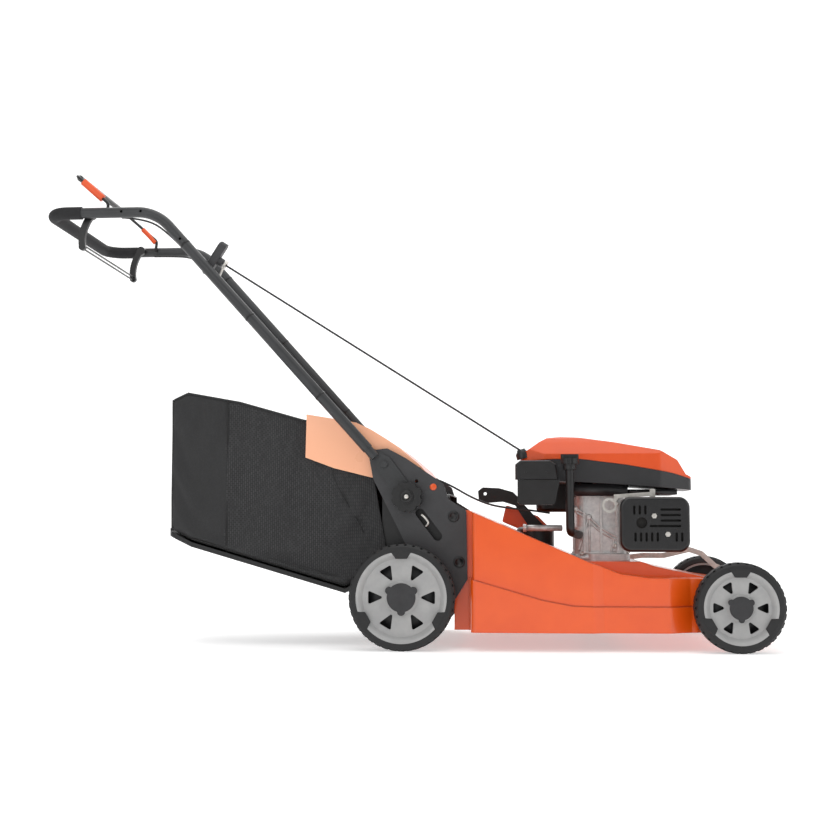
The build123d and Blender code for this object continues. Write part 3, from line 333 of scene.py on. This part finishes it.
# zinc plate on steel: bright but milky, a little warm, with fine uneven grain
zinc_plate = paint(
    "zinc_plated_steel", ("#BDBAB4", "#DAD7D1"), 0.32, metallic=0.75, cloud_mm=14, peel_mm=0.5, peel=0.1
)
PLUG = ((0, 12.5), (2.5, 12.5), (3.6, 11), (3.6, 8.5), (1.4, 7.5), (1.4, 0))
PIN_CAP = ((-3, 7.5), (0.6, 7.5), (1.2, 6), (1.2, 0))
for hand, side_name in ((-1, "right"), (1, "left")):
    outside = (0, hand, 0)
    plugs = bmesh.new()
    for x, z in ((109, 288), (121, 188)):
        turned(plugs, at(x, hand * 205.5, z), outside, PLUG)
    new_piece(f"plate_plugs_{side_name}", plugs, "deck", black_abs)
    clip = bmesh.new()
    route = [
        at(38, hand * 207, 292), at(47, hand * 210, 284), at(53, hand * 210, 274), at(48, hand * 207, 266)
    ]
    tube_along(clip, smooth_line(route), 2.4)
    new_piece(f"slot_clip_{side_name}", clip, "deck", zinc_plate)
    hinge_cap = bmesh.new()
    turned(hinge_cap, at(64, hand * 206, 353), outside, PIN_CAP, turns=24)
    new_piece(f"flap_pin_cap_{side_name}", hinge_cap, "deck", deck_enamel)

# Wheels -------------------------------------------------------------------------------------------
# Two-shot wheels: a silver-grey polypropylene rim with six broad spokes, a black rubber tyre with
# blocky shoulders keyed into it at three places, and a dark snap-in hub cap with three ears.

# silver-filled polypropylene, which looks like pale satin paint
silver_rim = paint(
    "moulded_silver_polypropylene", ("#9A9A9A", "#A8A8A7"), 0.42, metallic=0.1, cloud_mm=30, peel_mm=0.7,
    peel=0.08,
)
# tyre rubber off a blasted mould: nearly black, dull and grainy
tyre_rubber = paint("moulded_tyre_rubber", ("#141415", "#1D1D1E"), 0.6, cloud_mm=22, peel_mm=1.1, peel=0.3)
# dark nylon with a satin moulded grain
hub_nylon = paint(
    "moulded_dark_hub_nylon", ("#232325", "#2D2D2F"), 0.46, cloud_mm=18, peel_mm=0.8, peel=0.2
)
# end: distance from the rear axle, radius, radius of the rim
WHEELS = {"rear": (0.0, 114.3, 97.8), "front": (716.0, 95.25, 78.0)}
for end, (x, radius, rim) in WHEELS.items():
    for hand, side_name in ((-1, "right"), (1, "left")):
        wheel = f"{end}_{side_name}"
        finish_node(f"{wheel}_tyre", tyre_rubber, bevel=0.8)
        finish_node(f"{wheel}_rim", silver_rim, bevel=1.4)
        finish_node(f"{wheel}_cap", hub_nylon, bevel=0.8)
        # painted shade: a dark disc behind the spokes, standing in for the shade inside the wheel
        shade_disc = bmesh.new()
        middle = at(x, hand * 265, radius)
        dish = ((-14, 24), (-10, 24), (-8, rim * 0.5), (-10, rim * 0.93), (-14, rim * 0.93))
        turned(shade_disc, middle, (0, hand, 0), dish)
        new_piece(f"{wheel}_web", shade_disc, f"{wheel}_wheel", hub_nylon)

# Engine -------------------------------------------------------------------------------------------
# A single-cylinder petrol engine: pressure die-cast aluminium case and finned cylinder, left as
# cast and grainy, under a black moulded shroud and a glossy orange cover. The filter and filler are
# black plastic, and the muffler hides behind a black enamelled guard.

# as-cast aluminium: pale, blotchy and grainy, with an oxide skin that dulls its metal
cast_aluminium = paint(
    "die_cast_aluminium", ("#C8C8C8", "#E4E3E1"), 0.42, metallic=0.45, cloud_mm=9, peel_mm=0.7, peel=0.35
)
# polished-mould ABS: even orange with a soft sheen and rounded edges
orange_abs = paint(
    "moulded_orange_abs", ("#DC4A05", "#E6540E"), 0.36, cloud_mm=90, peel_mm=2.0, peel=0.04, coat=0.12,
    edge_mm=4,
)
# spark-eroded charcoal ABS: satin, with fine grain
shroud_grey = paint(
    "moulded_charcoal_abs", ("#1F1F21", "#28282A"), 0.42, cloud_mm=40, peel_mm=0.9, peel=0.2
)
# sprayed and stoved black enamel: deep and fairly glossy
black_enamel = paint(
    "heatproof_black_enamel", ("#08080A", "#101012"), 0.3, cloud_mm=35, peel_mm=1.4, peel=0.1, coat=0.2
)
# turned steel, left bare and oiled
bare_steel = paint(
    "bare_turned_steel", ("#77787A", "#93949A"), 0.35, metallic=1.0, cloud_mm=12, peel_mm=0.4, peel=0.1
)
for name in ("crankcase", "cylinder_head"):
    finish_node(name, cast_aluminium, bevel=1.0)
finish_node("top_cover", orange_abs, bevel=2.5)
finish_node("blower_shroud", shroud_grey, bevel=1.5)
for name in (
    "air_filter_box", "air_filter_lid", "fuel_tank", "oil_filler_tube", "fuel_cap", "dipstick_cap",
    "spark_plug", "gearbox",
):
    finish_node(name, black_abs, bevel=1.0)
for name in ("muffler_guard", "blade", "rear_axle_frame", "front_axle"):
    finish_node(name, black_enamel, bevel=0.8)
for name in ("guard_screws", "exhaust_bracket", "blade_bolt", "height_link"):
    finish_node(name, zinc_plate, bevel=0.5)
# pressed steel of the muffler, darkened by heat and soot
sooty_steel = paint(
    "heat_darkened_steel", ("#171615", "#242220"), 0.6, metallic=0.4, cloud_mm=16, peel_mm=0.8, peel=0.2
)
finish_node("muffler", sooty_steel)
for name in ("crankshaft", "engine_pulley", "drive_shaft"):
    finish_node(name, bare_steel)

# ribs and bolt pads of the case's right wall, cast in one with it
ribs = bmesh.new()
for route in (
    (at(384, -69, 306), at(412, -70, 288), at(440, -75.5, 262), at(486, -75.5, 236)),
    (at(384, -69, 298), at(410, -70, 281), at(436, -75.5, 256), at(484, -75.5, 229)),
    (at(412, -70, 288), at(402, -75.5, 252), at(388, -75.5, 210)),
    (at(414, -70, 288), at(414, -75.5, 250), at(414, -75.5, 208)),
    (at(470, -75.5, 240), at(462, -75.5, 208)), (at(476, -69, 330), at(476, -69, 262)),
):
    tube_along(ribs, smooth_line(list(route)), 2.8, turns=10)
for x, y, z, radius in ((413, -68, 287, 7), (383, -67, 305, 7), (476, -67, 318, 8), (470, -73, 222, 7)):
    pad = ((0, radius), (7, radius * 0.9), (7.8, radius * 0.7), (7.8, 0))
    turned(ribs, at(x, y, z), (0, -1, 0), pad, turns=24)
new_piece("case_ribs", ribs, "deck", cast_aluminium)

# the case's foot, a rounded rectangle in two steps that stands on the deck
CRANK_X = 440
FOOT_SIDES = 48
SQUARENESS = 0.45  # the power of a superellipse: the lower, the squarer
skirt = bmesh.new()
for low, high, wide, deep, top_deep in ((188, 203, 66, 84, 80), (203, 210, 62, 80, 76)):
    rim_low, rim_high = [], []
    for k in range(FOOT_SIDES):
        turn = 2 * pi * k / FOOT_SIDES
        across_x = wide * abs(cos(turn)) ** SQUARENESS * (1 if cos(turn) >= 0 else -1)
        across_y = abs(sin(turn)) ** SQUARENESS * (1 if sin(turn) >= 0 else -1)
        rim_low.append(skirt.verts.new(at(CRANK_X + across_x, across_y * deep, low)))
        rim_high.append(skirt.verts.new(at(CRANK_X + across_x * 0.97, across_y * top_deep, high)))
    for k in range(FOOT_SIDES):
        j = (k + 1) % FOOT_SIDES
        skirt.faces.new([rim_low[k], rim_low[j], rim_high[j], rim_high[k]])
    skirt.faces.new(rim_high)
    skirt.faces.new(rim_low[::-1])
new_piece("case_flange", skirt, "deck", cast_aluminium)

# moulded duct that leads the fan's air down to the fins, under the shroud
ducting = bmesh.new()
for x0, x1, y0, y1, z0, z1 in ((376, 500, -92, -46, 336, 362), (500, 612, -84, 84, 338, 350)):
    corners = [
        ducting.verts.new(at(x, y, z))
        for z in (z0, z1) for x, y in ((x0 + 6, y0), (x1, y0), (x1, y1), (x0, y1), (x0, y0 + 6))
    ]
    for k in range(5):
        j = (k + 1) % 5
        ducting.faces.new([corners[k], corners[j], corners[5 + j], corners[5 + k]])
    ducting.faces.new(corners[:5][::-1])
    ducting.faces.new(corners[5:])
new_piece("cooling_duct", ducting, "deck", shroud_grey)

# cast intake stub beside the filter, and the moulded port that the starter cord leaves by
intake = bmesh.new()
tube_along(intake, [at(268, -100, 262), at(300, -100, 262), at(350, -84, 262)], 7.0, turns=20)
turned(intake, at(268, -100, 262), (-1, 0, 0), ((-2, 9), (5, 9), (6, 7), (6, 0)), turns=20)
new_piece("intake_stub", intake, "deck", cast_aluminium)
rope_port = bmesh.new()
funnel = ((-8, 15), (4, 15), (9, 11), (14, 9), (14, 4), (8, 3.4), (-8, 3.4))
turned(rope_port, at(262, -96, 428), (-0.3, -0.05, 1), funnel, turns=28)
new_piece("rope_port", rope_port, "deck", black_abs)

# hexagon-headed bolts of the case, each with a shallow dimple in its head
HEX_BOLT = ((0, 5.2), (3.6, 5.2), (4.4, 4.2), (3.0, 2.2), (3.0, 0))
bolts = bmesh.new()
for x, y, z in ((383, -75, 305), (476, -75, 318), (470, -81, 222), (396, -75.5, 205), (500, -76, 208)):
    turned(bolts, at(x, y, z), (0, -1, 0), HEX_BOLT, turns=6)
new_piece("case_bolts", bolts, "deck", zinc_plate)

# fabric-wrapped rubber, dull with a dusty nap
belt_rubber = paint("wrapped_belt_rubber", ("#17171A", "#232326"), 0.7, cloud_mm=12, peel_mm=0.6, peel=0.3)
finish_node("drive_belt", belt_rubber)

# Handle -------------------------------------------------------------------------------------------
# Bent steel tube, powder coated charcoal with a fine satin texture, in flattened feet that turn on
# lobed knobs. The hand bar wears a slipped-on closed-cell foam sleeve.

# powder coat with a fine satin texture
charcoal_coat = paint(
    "satin_charcoal_powder_coat", ("#28292A", "#313234"), 0.38, cloud_mm=50, peel_mm=0.8, peel=0.1
)
# foam with tiny closed cells, quite matt
foam = paint("closed_cell_foam", ("#1B1B1C", "#252527"), 0.85, cloud_mm=8, peel_mm=1.3, peel=0.5)
finish_node("handle_tube", charcoal_coat)
finish_node("handle_feet", charcoal_coat, bevel=1.0)
finish_node("grip_sleeve", foam)
finish_node("rope_guide", zinc_plate)
for name in ("lock_knob_right", "lock_knob_left"):
    finish_node(name, black_abs, bevel=2.0)
KNOB_BOSS = ((0, 13.5), (2.6, 13.5), (3.6, 12), (3.6, 7.5), (1.6, 7), (1.6, 0))
KNOB_STUD = ((0, 5.2), (4.4, 5.2), (5.2, 4), (5.2, 0))
for hand, side_name in ((-1, "right"), (1, "left")):
    knob = f"lock_knob_{side_name}"
    knob_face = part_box(f"lock_knob_{side_name}")
    reach = abs(knob_face[0][1] if hand < 0 else knob_face[1][1]) / MM
    boss = bmesh.new()
    turned(boss, at(7, hand * (reach - 2), 331), (0, hand, 0), KNOB_BOSS)
    new_piece(f"knob_boss_{side_name}", boss, knob, black_abs)
    stud = bmesh.new()
    turned(stud, at(7, hand * (reach - 1), 331), (0, hand, 0), KNOB_STUD, turns=6)
    new_piece(f"knob_stud_{side_name}", stud, knob, zinc_plate)
for name in ("engine_bail", "drive_bail"):
    finish_node(name, black_abs)
finish_node("bail_lever", orange_abs, bevel=1.5)

# the orange cap of the stop bail's left leg, and the ties round the handle tubes
bail_cap = bmesh.new()
tube_along(bail_cap, smooth_line([at(-688, 202, 1002), at(-702, 202, 1018), at(-722, 202, 1038)]), 6.0)
new_piece("bail_leg_cap", bail_cap, "engine_bail", orange_abs)
FOLD_X, FOLD_Z = -80, 436.8
TUBE_RUN = (-486.5, 0, 543.2)  # the upper tubes' straight run, from the fold towards the grip
TIE = ((-2.2, 11.2), (-2.2, 12.6), (2.2, 12.6), (2.2, 11.2))
ties = bmesh.new()
for share in (0.22, 0.55, 0.86):
    for hand in (-1, 1):
        ring_at = at(FOLD_X + TUBE_RUN[0] * share, hand * 219, FOLD_Z + TUBE_RUN[2] * share)
        turned(ties, ring_at, TUBE_RUN, TIE, turns=32)
new_piece("cable_ties", ties, "handle", black_abs)

# Starter ------------------------------------------------------------------------------------------
# A moulded grip on a braided polyester cord, which runs taut from the recoil unit to a wire guide.
# The grip is nylon with a satin skin; the cord has a fine plaited surface.

starter_grey = paint("moulded_grip_nylon", ("#2E2E30", "#3A3A3C"), 0.5, cloud_mm=14, peel_mm=0.8, peel=0.2)
rope_braid = paint("braided_starter_cord", ("#1E1E21", "#2D2D31"), 0.8, cloud_mm=2.5, peel_mm=1.0, peel=0.8)
finish_node("starter_grip", starter_grey, bevel=1.5)


def lay_line(points):
    """The smooth line of a cord's route, read from its own curve."""
    curve = bpy.data.curves.new("route", "CURVE")
    curve.dimensions = "3D"
    curve.resolution_u = 10
    spline = curve.splines.new("NURBS")
    spline.points.add(len(points) - 1)
    for control, point in zip(spline.points, points):
        control.co = (*point, 1)
    spline.order_u = 3
    spline.use_endpoint_u = True
    route = bpy.data.objects.new("route", curve)
    mesh = bpy.data.meshes.new_from_object(route)
    line = [vert.co.copy() for vert in mesh.vertices]
    bpy.data.meshes.remove(mesh)
    bpy.data.objects.remove(route)
    bpy.data.curves.remove(curve)
    return line


PULL = Vector((-0.848, -0.1, 0.53)).normalized()
ROPE_END = at(262, -96, 436)
EYE = at(-414, -184, 862)
rope = bmesh.new()
tube_along(rope, [ROPE_END.lerp(EYE, k / 40) for k in range(41)], 2.2, turns=10)
starter_cord = new_piece("starter_cord", rope, None, rope_braid)
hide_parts("starter_rope")
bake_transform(starter_cord)
tail = bmesh.new()
tube_along(tail, [EYE + PULL * (8 * MM) * (k / 24) for k in range(25)], 2.2, turns=10)
cord_tail = new_piece("starter_cord_tail", tail, None, rope_braid)
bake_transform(cord_tail)

# Control cables -----------------------------------------------------------------------------------
# Two Bowden cables in black extruded PVC jackets, from the bails down beside the handle tubes. They
# are clipped to the tubes and hang in a loose bow over the handle's fold.

pvc_jacket = paint("extruded_black_pvc", ("#161617", "#1F1F20"), 0.38, cloud_mm=10, peel_mm=0.5, peel=0.1)
HANG = ((552, 8), (496, 5), (437, 9), (380, 4), (322, 7), (262, 3), (205, 8), (146, 5), (92, 9), (44, 6))


def beside_tube(hand):
    """The stretch beside a handle tube: places along it, each hanging a little under it."""
    run = Vector(TUBE_RUN).normalized()
    under = Vector((-run.z, 0, run.x))
    return [
        at(FOLD_X, hand * (203.5 - drop / 9), FOLD_Z) + (run * step + under * drop) * MM
        for step, drop in HANG
    ]


brake_route = [
    at(-652, -203, 972), at(-596, -203.5, 968), at(-545, -203.2, 938), *beside_tube(-1),
    at(-84, -197.2, 426), at(-34, -196.3, 392), at(14, -196.5, 378), at(62, -196.8, 374),
    at(104, -192, 356), at(146, -182, 331), at(190, -172, 313), at(236, -158, 306),
    at(282, -136, 302), at(322, -104, 296),
]
drive_route = [
    at(-690, 203, 966), at(-640, 203.5, 966), at(-590, 203, 962), at(-545, 203.4, 936), *beside_tube(1),
    at(-84, 197.2, 426), at(-34, 196.3, 392), at(14, 196.5, 378), at(58, 196, 372),
    at(84, 190, 338), at(89, 188.5, 292), at(91, 189, 246), at(88, 186, 205), at(84, 166, 168),
    at(76, 126, 158), at(66, 88, 156), at(52, 54, 146), at(36, 37, 134),
]
for cable_name, route, hand in (("brake_cable", brake_route, -1), ("drive_cable", drive_route, 1)):
    jacket = bmesh.new()
    tube_along(jacket, lay_line(route), 2.2, turns=10)
    cable = new_piece(cable_name, jacket, None, pvc_jacket)
    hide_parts("control_cables")
    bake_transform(cable)

# Rear flap ----------------------------------------------------------------------------------------
# The flap is one moulding of glossy orange polypropylene on a steel pin. Its sideways-facing cheeks
# are painted paler than its top, as a painted highlight.

flap_orange = paint(
    "glossy_orange_polypropylene", ("#E4521A", "#EC602A"), 0.3, cloud_mm=120, peel_mm=2.0, peel=0.03,
    coat=0.3,
)
flap_tree = flap_orange.node_tree
# painted highlight: faces turned to the sides are mixed towards a pale peach, lighter than the top
facing = add_node(flap_tree, "ShaderNodeNewGeometry")
turned_by = add_node(flap_tree, "ShaderNodeSeparateXYZ", links={"Vector": facing.outputs["True Normal"]})
sideways = add_node(flap_tree, "ShaderNodeMath", {"operation": "ABSOLUTE"}, {0: turned_by.outputs["Y"]})
painted_highlight_mask = add_node(
    flap_tree, "ShaderNodeMapRange", {"From Min": 0.6, "From Max": 0.9},
    {"Value": sideways.outputs["Value"]},
)
flap_shader = next(node for node in flap_tree.nodes if node.type == "BSDF_PRINCIPLED")
flap_tone = flap_shader.inputs["Base Color"].links[0].from_socket
pale = add_node(flap_tree, "ShaderNodeMix", {"data_type": "RGBA"}, {"Factor": painted_highlight_mask.outputs["Result"]})
flap_tree.links.new(flap_tone, pale.inputs[6])
pale.inputs[7].default_value = linear("#FBB791")
flap_tree.links.new(pale.outputs[2], flap_shader.inputs["Base Color"])
finish_node("rear_flap", flap_orange, bevel=0.9)

# Grass bag ----------------------------------------------------------------------------------------
# A bag sewn from coated polyester mesh over a wire frame, with a denser plain cloth at the rear and
# bound seams. It hangs from the frame and rests on a moulded tray, so its sides sag and crease.

# its side view, rear to front, and its half width, in millimetres
BAG_TOP = ((-530, 555), (-496, 571), (-376, 549), (-232, 508), (-160, 495), (-112, 484), (-86, 469))
BAG_LOW = ((-529, 258), (-481, 233), (-308, 182), (-134, 131), (-37, 189))
BAG_HALF = 185.0
EDGE_ROUND = 15.0
STATIONS = 60


def along(line, share):
    """The place at a share of a broken line's length, in millimetres."""
    runs = [(Vector(b) - Vector(a)).length for a, b in zip(line, line[1:])]
    left = share * sum(runs)
    for a, b, run in zip(line, line[1:], runs):
        if left <= run + 1e-6:
            return Vector(a).lerp(Vector(b), min(1, left / run))
        left -= run
    return Vector(line[-1])


def hoop(height):
    """One hoop of the bag: sideways place, height above the bottom, and distance round, from below."""
    flat, tall = BAG_HALF - EDGE_ROUND, height - EDGE_ROUND
    corner = [(sin(a), 1 - cos(a)) for a in (pi / 8 * k for k in range(1, 4))]
    half = [(flat * k / 10, 0) for k in range(11)]
    half += [(flat + EDGE_ROUND * a, EDGE_ROUND * b) for a, b in corner]
    half += [(BAG_HALF, EDGE_ROUND + (tall - EDGE_ROUND) * k / 22) for k in range(23)]
    half += [(flat + EDGE_ROUND * (1 - b), tall + EDGE_ROUND * a) for a, b in corner]
    half += [(flat * (1 - k / 10), height) for k in range(11)]
    ring = half + [(-y, z) for y, z in half[-2:0:-1]]
    travelled = [0.0]
    for (y0, z0), (y1, z1) in zip(ring, ring[1:]):
        travelled.append(travelled[-1] + sqrt((y1 - y0) ** 2 + (z1 - z0) ** 2))
    return [(y, z, far) for (y, z), far in zip(ring, travelled)]


def woven(name, yarn, gap, dash_mm, row_mm, gap_mm):
    """Woven yarn over dark gaps, laid out by the cloth's own measure; rows are drawn coarse to show."""
    material, tree, output = new_material(name)
    cloth_place = add_node(tree, "ShaderNodeAttribute", {"attribute_name": "cloth_mm"})
    rows = add_node(
        tree, "ShaderNodeTexBrick",
        {
            "Scale": 1.0, "Brick Width": dash_mm, "Row Height": row_mm, "Mortar Size": gap_mm,
            "Mortar Smooth": 0.6,
            "Color1": linear(yarn[0]), "Color2": linear(yarn[1]), "Mortar": linear(gap),
        },
        {"Vector": cloth_place.outputs["Vector"]},
    )
    place = add_node(tree, "ShaderNodeTexCoord")
    wear = add_node(
        tree, "ShaderNodeTexNoise", {"Scale": 9, "Detail": 4}, {"Vector": place.outputs["Object"]}
    )
    worn = add_node(
        tree, "ShaderNodeMapRange", {"To Min": 0.8, "To Max": 1.25}, {"Value": wear.outputs["Fac"]}
    )
    tone = add_node(
        tree, "ShaderNodeHueSaturation", {"Saturation": 1.0},
        {"Value": worn.outputs["Result"], "Color": rows.outputs["Color"]},
    )
    bump = add_node(
        tree, "ShaderNodeBump", {"Strength": 0.5, "Distance": 0.5 * MM, "invert": True},
        {"Height": rows.outputs["Fac"]},
    )
    shader = add_node(
        tree, "ShaderNodeBsdfPrincipled", {"Roughness": 0.78, "Sheen Weight": 0.12, "Sheen Roughness": 0.5},
        {"Base Color": tone.outputs["Color"], "Normal": bump.outputs["Normal"]},
    )
    tree.links.new(shader.outputs["BSDF"], output.inputs["Surface"])
    return material


open_mesh = woven("woven_polyester_mesh", ("#353536", "#2A2A2B"), "#121213", 9.0, 4.5, 0.9)
plain_cloth = woven("plain_weave_polyester", ("#262627", "#2B2B2C"), "#1B1B1C", 3.0, 3.0, 0.3)

bag = bmesh.new()
rings, measures, held_verts = [], {}, set()
for step in range(STATIONS + 1):
    low, top = along(BAG_LOW, step / STATIONS), along(BAG_TOP, step / STATIONS)
    up = top - low
    ring = []
    for y, z, far in hoop(up.length):
        spot = low + up * (z / up.length)
        vert = bag.verts.new(at(spot.x, y, spot.y))
        measures[vert] = (far, 530 + spot.x, 0)
        ring.append(vert)
        at_edge = z < EDGE_ROUND or z > up.length - EDGE_ROUND
        on_wire = abs(y) > BAG_HALF - EDGE_ROUND and at_edge
        if on_wire or z < 1 or step == 0 or step > STATIONS - 2:
            held_verts.add(vert)
    rings.append(ring)
rear = rings[0]
for share in (0.92, 0.75, 0.55, 0.35, 0.15):
    middle = sum((v.co for v in rear), Vector()) / len(rear)
    inner = []
    for vert in rear:
        made = bag.verts.new(middle.lerp(vert.co, share) + Vector((-1.5 * MM, 0, 0)))
        measures[made] = (made.co.z / MM, made.co.y / MM, 0)
        inner.append(made)
    rings.insert(0, inner)
count = len(rear)
for a, b in zip(rings, rings[1:]):
    for k in range(count):
        bag.faces.new([a[k], a[(k + 1) % count], b[(k + 1) % count], b[k]])
bag.faces.new(rings[0][::-1])
bag.verts.index_update()
cloth_places = [0.0] * (3 * len(bag.verts))
for vert, place_mm in measures.items():
    cloth_places[3 * vert.index:3 * vert.index + 3] = place_mm
held = [vert.index for vert in held_verts]
grass_cloth = new_piece("grass_bag_cloth", bag, "grass_bag", open_mesh)
grass_cloth.data.materials.append(plain_cloth)
cloth_measure = grass_cloth.data.attributes.new("cloth_mm", "FLOAT_VECTOR", "POINT")
cloth_measure.data.foreach_set("vector", cloth_places)
PANEL_SEAM = at(-404, 0, 0).x
for face in grass_cloth.data.polygons:
    if face.center.x < PANEL_SEAM or face.normal.z > 0.8:
        face.material_index = 1
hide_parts("grass_bag")

SAG_CAP = 9 * MM  # as far as the cloth may move from its sewn shape
rest = [v.co.copy() for v in grass_cloth.data.vertices]
grass_cloth.vertex_groups.new(name="frame").add(held, 1.0, "REPLACE")
sim = grass_cloth.modifiers.new("cloth", "CLOTH")
sim.settings.quality = 6
sim.settings.mass = 0.25
sim.settings.tension_stiffness = 12
sim.settings.compression_stiffness = 12
sim.settings.bending_stiffness = 0.4
sim.settings.vertex_group_mass = "frame"
sim.settings.shrink_min = -0.025
sim.collision_settings.use_collision = False
for tick in range(1, 21):
    bpy.context.scene.frame_set(tick)
hung = grass_cloth.evaluated_get(bpy.context.evaluated_depsgraph_get())
moved = [v.co.copy() for v in hung.data.vertices]
grass_cloth.modifiers.remove(sim)
bpy.context.scene.frame_set(1)
for vert, before, after in zip(grass_cloth.data.vertices, rest, moved):
    shift = after - before
    if shift.length > SAG_CAP:
        shift = shift.normalized() * SAG_CAP
    vert.co = before + shift
thick = grass_cloth.modifiers.new("thickness", "SOLIDIFY")
thick.thickness = 1.4 * MM
thick.offset = -1
round_off = grass_cloth.modifiers.new("soften", "SUBSURF")
round_off.levels = 1
round_off.render_levels = 1

binding_tape = paint("folded_binding_tape", ("#191919", "#222223"), 0.7, cloud_mm=6, peel_mm=0.9, peel=0.5)
SEAMS = (
    ((-165, 492), (-165, 388), (-92, 251)),
    ((-404, 551), (-404, 400), (-404, 214)),
    ((-484, 238), (-310, 196), (-132, 151)),
)
bindings = bmesh.new()
for hand in (-1, 1):
    corners = [(-528, 262), (-529, 330), (-529, 410), (-529, 480), *((x, z - 4) for x, z in BAG_TOP)]
    run = [at(x, hand * (BAG_HALF - 4), z) for x, z in corners]
    tape_line = [a.lerp(b, k / 6) for a, b in zip(run, run[1:]) for k in range(6)]
    tube_along(bindings, tape_line + run[-1:], 2.8)
    for seam in SEAMS:
        stitched = smooth_line([at(x, hand * (BAG_HALF + 0.2), z) for x, z in seam])
        tube_along(bindings, stitched, 1.3, turns=8)
new_piece("grass_bag_bindings", bindings, "grass_bag", binding_tape)
finish_node("bag_base", black_abs, bevel=1.0)
